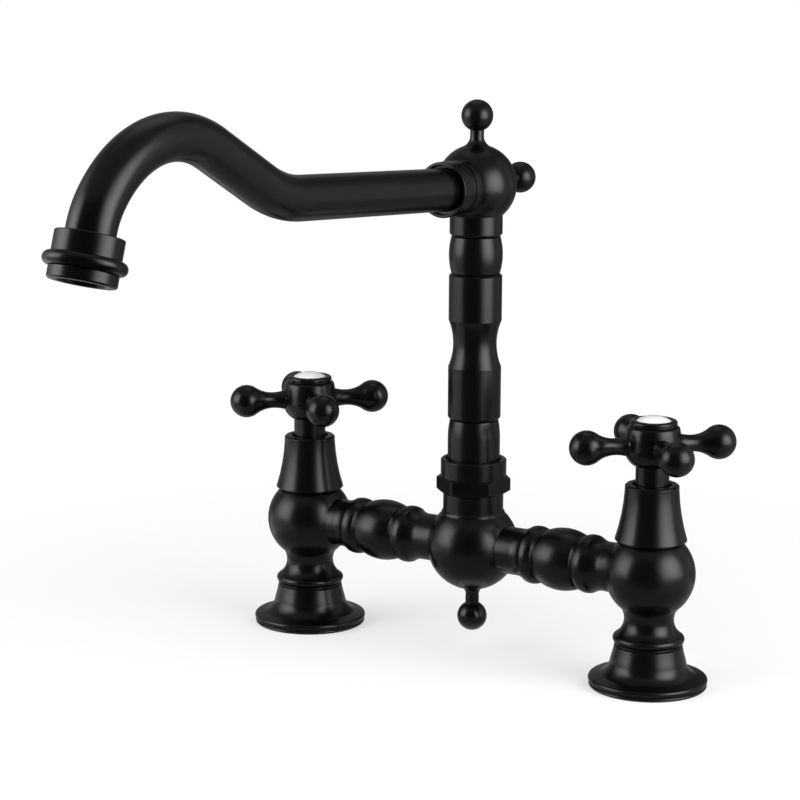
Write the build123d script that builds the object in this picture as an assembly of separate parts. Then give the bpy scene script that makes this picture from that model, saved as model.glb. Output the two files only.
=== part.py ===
"""Bridge kitchen tap: two valve posts, a bridge, a swivelling column and a swan-neck spout.

Millimetres, +Z up. The origin lies on the worktop plane, midway between the two posts.
-X is the hot side, +X the cold side, and the spout points forward, along -Y.
Each piece is written as one file named after it.
"""

import os
from math import cos, degrees, radians, sin, sqrt

from build123d import *

# ---- layout -------------------------------------------------------------------------------
POST_SPACING = 203.2  # between the inlet centres, an 8 inch set
BRIDGE_HEIGHT = 56.5  # bridge axis above the worktop
COLUMN_LENGTH = 73.7  # turned column between its two grooves
HANDLE_TURN = 47.0  # closed position of the cross, in degrees from the bridge axis
POST_X = POST_SPACING / 2

# ---- fits ---------------------------------------------------------------------------------
FIT = 0.05  # radial gap of a piece that is screwed or pushed into another
RUNNING = 0.07  # radial gap of a shaft that turns in its bore
LAPPED = 0.05  # gap between two flat faces that slide on each other
FREE = 0.4  # gap of moving pieces that never touch

# ---- flange on the worktop ----------------------------------------------------------------
FLANGE_HEIGHT = 20.8
FLANGE_RADIUS = 29.3
FLANGE_FOOT_RADIUS = 28.3
FLANGE_LIP = 1.7  # thickness of the thin lip under the rim
FLANGE_RIM = 4.9  # height of the rim's upper edge
FLANGE_NECK_RADIUS = 16.8
GASKET_THICKNESS = 1.5
GASKET_INNER_RADIUS = 19.0
GASKET_OUTER_RADIUS = 26.5

# ---- valve body ---------------------------------------------------------------------------
BODY_BALL_RADIUS = 22.15
BODY_TOP_RISE = 15.5  # flat top of the body above the bridge axis
BODY_BEAD_RADIUS = 17.6
BODY_BEAD_HEIGHT = 4.4
BODY_NECK_RADIUS = 12.3
BODY_NECK_TOP_RADIUS = 13.9
SHANK_RADIUS = 12.5  # threaded shank inside the flange
SHANK_START = 0.0  # on the worktop plane
INLET_RADIUS = 9.3  # core of the half inch inlet thread
INLET_DEPTH = 14.0
WATERWAY_RADIUS = 6.5
CHAMBER_RADIUS = 9.9  # round the cartridge
CHAMBER_DROP = 14.5  # chamber floor below the bridge axis
SPIGOT_RADIUS = 12.6  # outside thread that carries the bonnet
SPIGOT_HEIGHT = 7.0
CARTRIDGE_THREAD_RADIUS = 10.4

# ---- bonnet -------------------------------------------------------------------------------
BONNET_HEIGHT = 29.2
BONNET_RADIUS = 17.65
BONNET_SEAT_RADIUS = 15.4
BONNET_CHAMFER = 1.7
BONNET_MIDDLE_RADIUS = 14.75
BONNET_TOP_RADIUS = 13.2
BONNET_MOUTH_RADIUS = 9.5
BONNET_RIM = 0.8
BONNET_CROWN = 14.5  # solid length at the top, above the hexagon

# ---- ceramic cartridge --------------------------------------------------------------------
SEAL_THICKNESS = 2.2
SEAL_OUTER_RADIUS = 7.4
SEAL_INNER_RADIUS = 6.0
BARREL_RADIUS = 8.6
BARREL_BORE_RADIUS = 7.6
BARREL_LEAD = 1.4  # how far the barrel reaches below the seal's top
DISC_RADIUS = BARREL_BORE_RADIUS - RUNNING
DISC_THICKNESS = 3.5
DISC_PORT_INNER_RADIUS = 1.6
DISC_PORT_OUTER_RADIUS = 6.0
DISC_PORT_ANGLE = 78.0
TENON_WIDTH = 4.0
TENON_HEIGHT = 1.1
DRIVER_HEIGHT = 4.0
DRIVER_FLANGE = 1.6
WINDOW_ANGLE = 80.0
HEX_FLATS = 22.0
HEX_HEIGHT = 4.6
STEM_RADIUS = 4.9
NOSE_RADIUS = STEM_RADIUS + 2.6  # plain nose above the hexagon
NOSE_TOP_RISE = 39.5  # top of the nose above the bridge axis
SPLINE_TIP_RADIUS = STEM_RADIUS - 0.6
SPLINE_ROOT_RADIUS = SPLINE_TIP_RADIUS - 0.45
SPLINE_TEETH = 20
STEM_TAP_RADIUS = 1.95
STEM_TAP_DEPTH = 10.0
RING_SECTION = 0.65  # radius of a small seal ring's section
RING_SLACK = 0.15  # room beside a seal ring in its groove

# ---- handle -------------------------------------------------------------------------------
HANDLE_RISE = 64.0  # plane of the four arms above the bridge axis
HUB_RADIUS = 13.8
HUB_BOTTOM = 10.1  # below the arms' plane
HUB_FOOT_RADIUS = 9.2
HUB_TOP = 9.3  # above the arms' plane
HUB_SHOULDER_RADIUS = 12.2
HUB_TOP_RADIUS = 11.9
SLEEVE_RADIUS = 8.2
SLEEVE_BORE_RADIUS = STEM_RADIUS + 0.5
SLEEVE_PLUG_RADIUS = SLEEVE_BORE_RADIUS + 1.5
SLEEVE_PLUG_LENGTH = 3.0
SLEEVE_GAP = 1.6  # above the cartridge's nose
ARM_BALL_RADIUS = 8.5
ARM_BALL_REACH = 33.6
ARM_NECK_RADIUS = 4.1
ARM_BLEND_RADIUS = 16.0
ARM_SHOULDER_RADIUS = 4.9
ARM_SHOULDER_REACH = 12.7
ARM_SHOULDER_LENGTH = 1.3
ARM_SPIGOT_RADIUS = 2.9
ARM_SPIGOT_LENGTH = 2.9
ARM_COUNT = 4
WEB_TOP = 0.5  # screw seat in the hub, above the arms' plane
WEB_THICKNESS = 1.4
SCREW_RADIUS = 1.9
SCREW_HEAD_RADIUS = 4.0
SCREW_HEAD_HEIGHT = 2.6
SCREW_SOCKET_RADIUS = 1.6
SCREW_LENGTH = 10.0
POCKET_FLOOR = 4.5  # above the arms' plane
BEZEL_RADIUS = 11.5
BEZEL_HEIGHT = 3.1
BEZEL_RIM_RADIUS = 10.1
BEZEL_SKIRT_RADIUS = 9.5
BEZEL_LIP = 1.4
BEZEL_LIP_RADIUS = 7.4
BUTTON_RADIUS = 8.55
BUTTON_EDGE_DROP = 0.5  # button's edge below the bezel's top
BUTTON_DOME = 2.6

# ---- bridge arms --------------------------------------------------------------------------
ARM_BEAD_CENTRE = 53.4  # from the middle of the bridge
ARM_BEAD_RADIUS = 15.7
ARM_BEAD_EDGE_RADIUS = 13.6
ARM_BEAD_HALF = 9.8
ARM_GROOVE_RADIUS = 12.7
ARM_GROOVE_STEP = 0.9
ARM_GROOVE_WIDTH = 0.7
ARM_RING_RADIUS = 14.6
ARM_RING_EDGE_RADIUS = 13.9
ARM_RING_WIDTH = 5.7
ARM_FLARE_LENGTH = 8.0
ARM_FLARE_SAG = 0.75
ARM_SLEEVE_RADIUS = 11.9  # at the mixing tee
ARM_COLLAR_RADIUS = 12.3  # at the valve body
ARM_SINK = 1.1  # how deep each end sits in its ball
ARM_TAIL_RADIUS = 9.3
ARM_TAIL_LENGTH = 6.8
ARM_RING_INSET = 4.2  # seal ring, from the end of the tail

# ---- mixing tee and swivel ----------------------------------------------------------------
TEE_BALL_RADIUS = 23.2
TEE_NECK_RADIUS = 15.25
TEE_NECK_TOP = 27.2  # above the bridge axis
TEE_THREAD_RADIUS = 14.55
TEE_THREAD_TOP = 35.5
TEE_STEP = 15.5  # floor of the swivel bore
TAIL_RADIUS = 10.85
TAIL_BOTTOM = 17.5
TAIL_RING_SECTION = 0.8
TAIL_RING_HEIGHTS = (20.5, 24.0)
BUSH_DEPTH = 8.0
BUSH_WALL = 0.7
BUSH_FLANGE = 0.8
BUSH_FLANGE_RADIUS = 14.2
NUT_BOTTOM = 27.4
NUT_HEX_HEIGHT = 8.5
NUT_FOOT_RADIUS = 15.4
NUT_FOOT_BEVEL = 1.6  # at the corners
NUT_TOP_BEVEL = 1.3
NUT_LAND = 0.15  # round the collar
NUT_FLATS = 33.0
NUT_TURN = 26.3  # where the tight nut's flats come to stand
NUT_COLLAR_RADIUS = 16.6
NUT_TOP = 44.9
NUT_LIP_RADIUS = 13.55
NUT_LIP_TOP = 43.2
NUT_MOUTH_RADIUS = 14.6
CLIP_BOTTOM = 39.9
CLIP_THICKNESS = 1.6
CLIP_ROOT_RADIUS = 12.0
CLIP_RADIUS = 14.2
CLIP_OPENING = 7.0
NUT_LIP_BOTTOM = CLIP_BOTTOM + CLIP_THICKNESS + LAPPED

# ---- column -------------------------------------------------------------------------------
COLUMN_RADIUS = 13.3
COLUMN_WAIST_RADIUS = 10.9
COLUMN_WAIST_HALF = 11.8
COLUMN_GROOVE_RADIUS = 12.2
COLUMN_CHAMFER = 1.1
COLUMN_BORE_RADIUS = TAIL_RADIUS - 2 * TAIL_RING_SECTION - 1.25
FOOT_TOP = 65.0  # groove under the column, above the bridge axis
FOOT_RADIUS = 13.2
FOOT_ROUND = 9.5  # height over which the foot rounds in to the groove
FOOT_ROUND_SAG = 0.25
PLUG_RADIUS = 9.6  # plugs that join the column's pieces
PLUG_LENGTH = 9.0
FERRULE_LENGTH = 18.4
FERRULE_RADIUS = 13.45
SEAM = 0.3  # visible gap between the turned pieces

# ---- head ---------------------------------------------------------------------------------
HEAD_BALL_RADIUS = 20.0
HEAD_NECK_RADIUS = 13.2
HEAD_NECK_LENGTH = 25.3  # from the neck's lower edge to the ball's centre
TUBE_RADIUS = 10.45
TUBE_WALL = 1.2
HEAD_BOSS_REACH = 20.4
NIPPLE_RADIUS = TUBE_RADIUS + 1.75
HEAD_BOSS_RADIUS = NIPPLE_RADIUS + 1.2
NIPPLE_REACH = 26.0
NIPPLE_UNDERCUT_RADIUS = NIPPLE_RADIUS - 0.4
RING_REACH = 21.2  # thin ring in front of the boss
RING_WIDTH = 2.0
RING_RADIUS = NIPPLE_RADIUS + 1.1
COLLAR_REACH = 24.0
COLLAR_RADIUS = NIPPLE_RADIUS + 1.45
COLLAR_LENGTH = 8.3
COLLAR_RECESS_RADIUS = NIPPLE_RADIUS - 0.1
COLLAR_RECESS = 2.6
COLLAR_LIP = 2.0
COLLAR_EDGE = 0.6

# ---- finials ------------------------------------------------------------------------------
FINIAL_NECK_RADIUS = 3.45
FINIAL_FOOT_RADIUS = 6.6
FINIAL_FLARE = 4.6
FINIAL_TAIL_RADIUS = 3.0
FINIAL_TAIL_LENGTH = 6.0
TOP_FINIAL_BALL_RADIUS = 7.9
TOP_FINIAL_REACH = 34.0  # ball centre from the head's centre
REAR_FINIAL_REACH = 42.0
LOWER_FINIAL_BALL_RADIUS = 7.55
LOWER_FINIAL_REACH = 37.5
LOWER_FINIAL_FOOT_RADIUS = 5.4

# ---- spout --------------------------------------------------------------------------------
TUBE_ROOT = 10.0  # start of the tube, in front of the head's centre
TUBE_LEVEL_END = 29.5
RISE_ANGLE = 3.4
RISE_BEND = 50.0
RISE_LENGTH = 117.0
CLIMB_ANGLE = 28.2
CLIMB_BEND = 71.8
CLIMB_LENGTH = 39.5
CROOK_BEND = 57.2
CROOK_END_ANGLE = -53.2
TIP_BEND = 36.4
OUTLET_ANGLE = -72.5
TIP_LENGTH = 1.5
OLIVE_RADIUS = NIPPLE_RADIUS - 0.4
OLIVE_WIDTH = 1.6
TUBE_RING_SECTION = 0.75
TUBE_RING_REACH = 16.0

# ---- outlet -------------------------------------------------------------------------------
OUTLET_RADIUS = TUBE_RADIUS + 4.05
OUTLET_LENGTH = 8.8
OUTLET_BEAD_RADIUS = OUTLET_RADIUS + 3.0
OUTLET_BEAD_WIDTH = 5.8
OUTLET_SOCKET = 6.8  # length of tube inside the collar
OUTLET_SEAT = 1.0  # thickness of the step the tube's end rests on
OUTLET_EDGE = 0.4
MOUTH_LENGTH = 5.3
MOUTH_RADIUS = OUTLET_RADIUS - 4.3
MOUTH_BEVEL = 0.7
MOUTH_THREAD_RADIUS = OUTLET_RADIUS - 1.9
MOUTH_BORE_RADIUS = OUTLET_RADIUS - 3.3
MOUTH_LIP = 2.0
INSERT_THICKNESS = 4.4
INSERT_RIM = 1.2
INSERT_HOLE_RADIUS = 0.95
INSERT_PITCH = 2.6
INSERT_ROWS = 3
WASHER_THICKNESS = 1.4
WASHER_INNER_RADIUS = MOUTH_BORE_RADIUS - 2.4

# ---- heights that follow from the sizes above -----------------------------------------------
BODY_TOP = BRIDGE_HEIGHT + BODY_TOP_RISE
CHAMBER_FLOOR = BRIDGE_HEIGHT - CHAMBER_DROP
FIXED_DISC_Z = CHAMBER_FLOOR + SEAL_THICKNESS
MOVING_DISC_Z = FIXED_DISC_Z + DISC_THICKNESS + LAPPED
DRIVER_Z = MOVING_DISC_Z + DISC_THICKNESS + LAPPED
BARREL_CEILING = DRIVER_Z + DRIVER_HEIGHT + DRIVER_FLANGE + LAPPED
HEX_Z = BODY_TOP + SPIGOT_HEIGHT
CARTRIDGE_RING_Z = BODY_TOP + 1.5
NOSE_TOP = BRIDGE_HEIGHT + NOSE_TOP_RISE
HANDLE_Z = BRIDGE_HEIGHT + HANDLE_RISE
HUB_BOTTOM_Z = HANDLE_Z - HUB_BOTTOM
HUB_TOP_Z = HANDLE_Z + HUB_TOP
WEB_Z = HANDLE_Z + WEB_TOP - WEB_THICKNESS
COLUMN_BOTTOM = BRIDGE_HEIGHT + FOOT_TOP + SEAM
COLUMN_TOP = COLUMN_BOTTOM + COLUMN_LENGTH
FERRULE_BOTTOM = COLUMN_TOP + SEAM
FERRULE_TOP = FERRULE_BOTTOM + FERRULE_LENGTH
HEAD_BOTTOM = FERRULE_TOP + SEAM
HEAD_Z = HEAD_BOTTOM + HEAD_NECK_LENGTH
TEE_BORE_RADIUS = TAIL_RADIUS + RUNNING + BUSH_WALL + FIT
TUBE_BORE_RADIUS = TUBE_RADIUS - TUBE_WALL

FRONT = Location((0, 0, HEAD_Z), (90, 0, 0))  # its own Z runs forward from the head's centre
BACK = Location((0, 0, HEAD_Z), (-90, 0, 0))
TOP = Location((0, 0, HEAD_Z))
BELOW = Location((0, 0, BRIDGE_HEIGHT), (180, 0, 0))
SIDES = {"hot": -1, "cold": 1}


# ---- drawing helpers: an outline is drawn as (radius, height) and turned about Z -------------
def lines(*points):
    """Straight edges from point to point."""
    ends = [Vector(r, 0, z) for r, z in points]
    return [Line(a, b) for a, b in zip(ends, ends[1:])]


def arc(start, middle, end):
    """A circular edge through three points."""
    return [ThreePointArc(*(Vector(r, 0, z) for r, z in (start, middle, end)))]


def sagged(start, end, sag):
    """A circular edge whose middle lies a distance sag to the left of its chord."""
    run, rise = end[0] - start[0], end[1] - start[1]
    chord = sqrt(run**2 + rise**2)
    middle = (
        (start[0] + end[0]) / 2 - sag * rise / chord,
        (start[1] + end[1]) / 2 + sag * run / chord,
    )
    return arc(start, middle, end)


def turned(*edge_groups):
    """The solid of revolution of a closed outline."""
    edges = [edge for group in edge_groups for edge in group]
    return revolve(make_face(edges), axis=Axis.Z)


def rod(radius, bottom, top):
    """A plain cylinder on Z."""
    return Pos(0, 0, bottom) * Cylinder(radius, top - bottom, align=(Align.CENTER, Align.CENTER, Align.MIN))


def tube(outer, inner, bottom, top):
    """A plain tube on Z."""
    return turned(lines((inner, bottom), (outer, bottom), (outer, top), (inner, top), (inner, bottom)))


def seal_ring(middle_radius, section, height):
    """A seal ring of round section."""
    return Pos(0, 0, height) * Torus(middle_radius, section)


def ring_groove(shaft_radius, section, height):
    """What a shaft loses to seat a ring of round section."""
    half = section + RING_SLACK
    return tube(shaft_radius + 1, shaft_radius - 2 * section, height - half, height + half)


def prism(flats, bottom, top, turn=0.0):
    """A hexagonal prism on Z, measured across its flats."""
    face = Rot(0, 0, turn) * RegularPolygon(flats / 2, 6, major_radius=False)
    return Pos(0, 0, bottom) * extrude(face, top - bottom)


def wedge(radius, angle, bottom, top, middle_angle):
    """A sector of a disc, centred on a direction."""
    half = angle / 2
    reach = Vector(radius, 0, 0)
    start, end = reach.rotate(Axis.Z, middle_angle - half), reach.rotate(Axis.Z, middle_angle + half)
    middle = reach.rotate(Axis.Z, middle_angle)
    edges = [Line(Vector(), start), ThreePointArc(start, middle, end), Line(end, Vector())]
    return Pos(0, 0, bottom) * extrude(make_face(edges), top - bottom)


def ball_edge(radius, centre, cut_radius, side):
    """Height at which a ball on Z has a given radius, above (side 1) or below (side -1) its centre."""
    return centre + side * sqrt(radius**2 - cut_radius**2)


def place(side, piece):
    """Moves a piece from Z to a post."""
    return Pos(SIDES[side] * POST_X, 0, 0) * piece


# ---- flange -------------------------------------------------------------------------------
def flange():
    top_chamfer = 0.5
    shelf = (FLANGE_RADIUS - 5.8, FLANGE_RIM + 1.1)
    cone_foot = (FLANGE_NECK_RADIUS + 1.7, FLANGE_RIM + 8.6)
    bore = SHANK_RADIUS + FIT
    groove = FLANGE_FOOT_RADIUS + 0.2
    outline = (
        lines((bore, 0), (FLANGE_FOOT_RADIUS, 0))
        + arc((FLANGE_FOOT_RADIUS, 0), (FLANGE_RADIUS - 0.3, FLANGE_LIP / 2), (groove, FLANGE_LIP))
        + lines((groove, FLANGE_LIP), (groove, FLANGE_LIP + 0.4))
        + arc(
            (groove, FLANGE_LIP + 0.4),
            (FLANGE_RADIUS, FLANGE_LIP + 1.6),
            (FLANGE_RADIUS - 0.7, FLANGE_RIM),
        )
        + lines((FLANGE_RADIUS - 0.7, FLANGE_RIM), shelf)
        + sagged(shelf, cone_foot, 1.1)
        + sagged(cone_foot, (FLANGE_NECK_RADIUS, FLANGE_HEIGHT - top_chamfer), 0.1)
        + lines(
            (FLANGE_NECK_RADIUS, FLANGE_HEIGHT - top_chamfer),
            (FLANGE_NECK_RADIUS - top_chamfer, FLANGE_HEIGHT),
            (bore, FLANGE_HEIGHT),
            (bore, 0),
        )
    )
    recess = tube(GASKET_OUTER_RADIUS + FIT, GASKET_INNER_RADIUS - FIT, 0, GASKET_THICKNESS)
    return turned(outline) - recess


def flange_gasket():
    return tube(GASKET_OUTER_RADIUS, GASKET_INNER_RADIUS, 0, GASKET_THICKNESS)


# ---- valve body ---------------------------------------------------------------------------
def valve_body(side):
    bead_bottom = FLANGE_HEIGHT + 1.3
    bead_top = bead_bottom + BODY_BEAD_HEIGHT
    bead_edge = BODY_BEAD_RADIUS - 1.1
    land = FLANGE_NECK_RADIUS - 0.1
    groove = land - 0.9
    neck_top = ball_edge(BODY_BALL_RADIUS, BRIDGE_HEIGHT, BODY_NECK_TOP_RADIUS, -1)
    top_radius = sqrt(BODY_BALL_RADIUS**2 - BODY_TOP_RISE**2)
    outline = (
        lines((0, SHANK_START), (SHANK_RADIUS, SHANK_START), (SHANK_RADIUS, FLANGE_HEIGHT))
        + lines((SHANK_RADIUS, FLANGE_HEIGHT), (groove, FLANGE_HEIGHT), (land, FLANGE_HEIGHT + 0.3))
        + lines((land, FLANGE_HEIGHT + 0.3), (land, FLANGE_HEIGHT + 0.9), (groove, bead_bottom))
        + lines((groove, bead_bottom), (bead_edge, bead_bottom))
        + arc((bead_edge, bead_bottom), (BODY_BEAD_RADIUS, bead_bottom + 1.7), (bead_edge, bead_top - 0.6))
        + arc(
            (bead_edge, bead_top - 0.6),
            (BODY_NECK_RADIUS, (bead_top + neck_top) / 2 - 0.2),
            (BODY_NECK_TOP_RADIUS, neck_top),
        )
        + arc((BODY_NECK_TOP_RADIUS, neck_top), (BODY_BALL_RADIUS, BRIDGE_HEIGHT), (top_radius, BODY_TOP))
        + lines((top_radius, BODY_TOP), (SPIGOT_RADIUS, BODY_TOP), (SPIGOT_RADIUS, HEX_Z))
        + lines((SPIGOT_RADIUS, HEX_Z), (0, HEX_Z), (0, SHANK_START))
    )
    body = turned(outline)
    body -= rod(INLET_RADIUS, SHANK_START, SHANK_START + INLET_DEPTH)
    body -= rod(WATERWAY_RADIUS, SHANK_START + INLET_DEPTH, CHAMBER_FLOOR)
    body -= rod(CHAMBER_RADIUS, CHAMBER_FLOOR, BODY_TOP - 4)
    body -= rod(CARTRIDGE_THREAD_RADIUS + FIT, BODY_TOP - 4, HEX_Z)
    return body - arm_socket(BODY_BALL_RADIUS, ARM_COLLAR_RADIUS, -SIDES[side])


def arm_socket(ball_radius, sleeve_radius, direction):
    """The stepped hole in a ball that takes one end of a bridge arm, along +X or -X."""
    seat = ball_edge(ball_radius, 0, sleeve_radius, 1) - ARM_SINK
    hole = rod(sleeve_radius + FIT, seat, ball_radius + 1)
    hole += rod(ARM_TAIL_RADIUS + FIT, seat - ARM_TAIL_LENGTH, seat)
    hole += rod(WATERWAY_RADIUS, 0, seat)
    return Pos(0, 0, BRIDGE_HEIGHT) * Rot(0, 90 * direction, 0) * hole


# ---- bonnet -------------------------------------------------------------------------------
def bonnet():
    top = BODY_TOP + BONNET_HEIGHT
    crown = top - BONNET_CROWN
    corner = BODY_TOP + BONNET_CHAMFER
    inner = HEX_FLATS / sqrt(3) + FREE
    thread = SPIGOT_RADIUS + FIT
    rim = BONNET_TOP_RADIUS - BONNET_RIM
    outline = (
        lines((thread, BODY_TOP), (BONNET_SEAT_RADIUS, BODY_TOP), (BONNET_RADIUS, corner))
        + arc(
            (BONNET_RADIUS, corner),
            (BONNET_MIDDLE_RADIUS, corner + 11.6),
            (BONNET_TOP_RADIUS, top - 2.7),
        )
        + lines((BONNET_TOP_RADIUS, top - 2.7), (BONNET_TOP_RADIUS, top - BONNET_RIM))
        + lines((BONNET_TOP_RADIUS, top - BONNET_RIM), (rim, top), (BONNET_MOUTH_RADIUS, top))
        + lines((BONNET_MOUTH_RADIUS, top), (BONNET_MOUTH_RADIUS, crown))
        + lines((BONNET_MOUTH_RADIUS, crown), (inner, crown), (inner, HEX_Z - 0.2))
        + lines((inner, HEX_Z - 0.2), (thread, HEX_Z - 0.2), (thread, BODY_TOP))
    )
    return turned(outline)


# ---- cartridge ----------------------------------------------------------------------------
def seat_seal():
    return tube(SEAL_OUTER_RADIUS, SEAL_INNER_RADIUS, CHAMBER_FLOOR, FIXED_DISC_Z)


def cartridge_body():
    barrel_bottom = FIXED_DISC_Z - BARREL_LEAD
    thread_bottom = BODY_TOP - 4 + FIT
    shaft_bore = STEM_RADIUS + RUNNING
    body = rod(BARREL_RADIUS, barrel_bottom, thread_bottom)
    body += rod(CARTRIDGE_THREAD_RADIUS, thread_bottom, HEX_Z)
    hex_top = HEX_Z + HEX_HEIGHT
    body += prism(HEX_FLATS, HEX_Z, hex_top) & rod(HEX_FLATS / sqrt(3) - 0.4, HEX_Z, hex_top)
    body += rod(NOSE_RADIUS, hex_top, NOSE_TOP)
    body -= rod(BARREL_BORE_RADIUS, barrel_bottom, BARREL_CEILING)
    body -= rod(shaft_bore, BARREL_CEILING, NOSE_TOP)
    for middle in (0, 180):
        window = wedge(BARREL_RADIUS + 1, WINDOW_ANGLE, DRIVER_Z, DRIVER_Z + DRIVER_HEIGHT, middle)
        body -= window
    return body - ring_groove(CARTRIDGE_THREAD_RADIUS, RING_SECTION, CARTRIDGE_RING_Z)


def cartridge_o_ring():
    return seal_ring(CARTRIDGE_THREAD_RADIUS - RING_SECTION, RING_SECTION - FIT / 2, CARTRIDGE_RING_Z)


def disc(bottom):
    """A ceramic disc with two sector ports."""
    plate = rod(DISC_RADIUS, bottom, bottom + DISC_THICKNESS)
    for middle in (0, 180):
        port = wedge(DISC_PORT_OUTER_RADIUS, DISC_PORT_ANGLE, bottom, bottom + DISC_THICKNESS, middle)
        plate -= port - rod(DISC_PORT_INNER_RADIUS, bottom, bottom + DISC_THICKNESS)
    return plate


def fixed_disc():
    return disc(FIXED_DISC_Z)


def moving_disc():
    slot = Box(2 * DISC_RADIUS, TENON_WIDTH + 2 * FIT, 2 * (TENON_HEIGHT + LAPPED))
    closed = Rot(0, 0, 90) * disc(MOVING_DISC_Z)
    return closed - Pos(0, 0, MOVING_DISC_Z + DISC_THICKNESS) * slot


def spline(tip, root, bottom, top):
    """A toothed shaft whose teeth are a star of straight flanks."""
    step = 180 / SPLINE_TEETH
    radii = [tip, root] * SPLINE_TEETH
    corners = [Vector(radius, 0, 0).rotate(Axis.Z, i * step) for i, radius in enumerate(radii)]
    return Pos(0, 0, bottom) * extrude(make_face(Polyline(*corners, close=True)), top - bottom)


def stem():
    driver_top = DRIVER_Z + DRIVER_HEIGHT
    foot = rod(DISC_RADIUS, DRIVER_Z, driver_top + DRIVER_FLANGE)
    for middle in (90, 270):
        foot -= wedge(DISC_RADIUS + 1, 110, DRIVER_Z, driver_top, middle) - Pos(0, 0, DRIVER_Z) * Box(
            3 * DISC_RADIUS, TENON_WIDTH, 3 * DRIVER_HEIGHT
        )
    tenon = Pos(0, 0, DRIVER_Z - TENON_HEIGHT) * Box(
        2 * DISC_RADIUS - 1, TENON_WIDTH, TENON_HEIGHT, align=(Align.CENTER, Align.CENTER, Align.MIN)
    )
    shaft = rod(STEM_RADIUS, driver_top + DRIVER_FLANGE, NOSE_TOP + 2)
    toothed = spline(SPLINE_TIP_RADIUS, SPLINE_ROOT_RADIUS, NOSE_TOP + 2, WEB_Z - LAPPED)
    body = foot + tenon + shaft + toothed
    body -= rod(STEM_TAP_RADIUS, WEB_Z - LAPPED - STEM_TAP_DEPTH - 1, WEB_Z - LAPPED)
    for height in stem_ring_heights():
        body -= ring_groove(STEM_RADIUS, RING_SECTION, height)
    return body


def stem_ring_heights():
    return (BODY_TOP + 8, BODY_TOP + 12)


def stem_o_rings():
    rings = [seal_ring(STEM_RADIUS - RING_SECTION, RING_SECTION - FIT / 2, z) for z in stem_ring_heights()]
    return Compound(children=rings)


# ---- handle -------------------------------------------------------------------------------
def stem_sleeve():
    bottom = NOSE_TOP + SLEEVE_GAP
    plug_top = HUB_BOTTOM_Z + SLEEVE_PLUG_LENGTH
    sleeve = tube(SLEEVE_RADIUS, SLEEVE_BORE_RADIUS, bottom, HUB_BOTTOM_Z)
    return sleeve + tube(SLEEVE_PLUG_RADIUS, SLEEVE_BORE_RADIUS, HUB_BOTTOM_Z, plug_top)


def around_hub(piece):
    """Copies a piece along +X to the four arms of the cross."""
    return [Rot(0, 0, HANDLE_TURN + i * 360 / ARM_COUNT) * piece for i in range(ARM_COUNT)]


def handle_hub():
    shoulder = HUB_TOP_Z - 0.9
    outline = (
        lines((0, HUB_BOTTOM_Z), (HUB_FOOT_RADIUS, HUB_BOTTOM_Z))
        + arc(
            (HUB_FOOT_RADIUS, HUB_BOTTOM_Z),
            (HUB_RADIUS - 1.1, HUB_BOTTOM_Z + 3.7),
            (HUB_RADIUS, HUB_BOTTOM_Z + 9.6),
        )
        + sagged((HUB_RADIUS, HUB_BOTTOM_Z + 9.6), (HUB_SHOULDER_RADIUS + 0.6, shoulder), -0.25)
        + sagged((HUB_SHOULDER_RADIUS + 0.6, shoulder), (HUB_TOP_RADIUS, HUB_TOP_Z), -0.15)
        + lines((HUB_TOP_RADIUS, HUB_TOP_Z), (0, HUB_TOP_Z), (0, HUB_BOTTOM_Z))
    )
    hub = turned(outline)
    hub -= rod(BEZEL_SKIRT_RADIUS + FIT, HANDLE_Z + POCKET_FLOOR, HUB_TOP_Z)
    hub -= rod(SCREW_HEAD_RADIUS + FREE, HANDLE_Z + WEB_TOP, HANDLE_Z + POCKET_FLOOR)
    hub -= rod(SCREW_RADIUS + FREE, WEB_Z, HANDLE_Z + WEB_TOP)
    hub -= rod(SLEEVE_PLUG_RADIUS + FIT, HUB_BOTTOM_Z, HUB_BOTTOM_Z + SLEEVE_PLUG_LENGTH + FIT)
    plug_top = HUB_BOTTOM_Z + SLEEVE_PLUG_LENGTH
    hub -= spline(SPLINE_TIP_RADIUS + FIT, SPLINE_ROOT_RADIUS + FIT, plug_top, WEB_Z)
    socket = rod(ARM_SHOULDER_RADIUS + FIT, ARM_SHOULDER_REACH, HUB_RADIUS + 2)
    socket += rod(ARM_SPIGOT_RADIUS + FIT, ARM_SHOULDER_REACH - ARM_SPIGOT_LENGTH, ARM_SHOULDER_REACH)
    for hole in around_hub(Pos(0, 0, HANDLE_Z) * Rot(0, 90, 0) * socket):
        hub -= hole
    return hub


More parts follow.
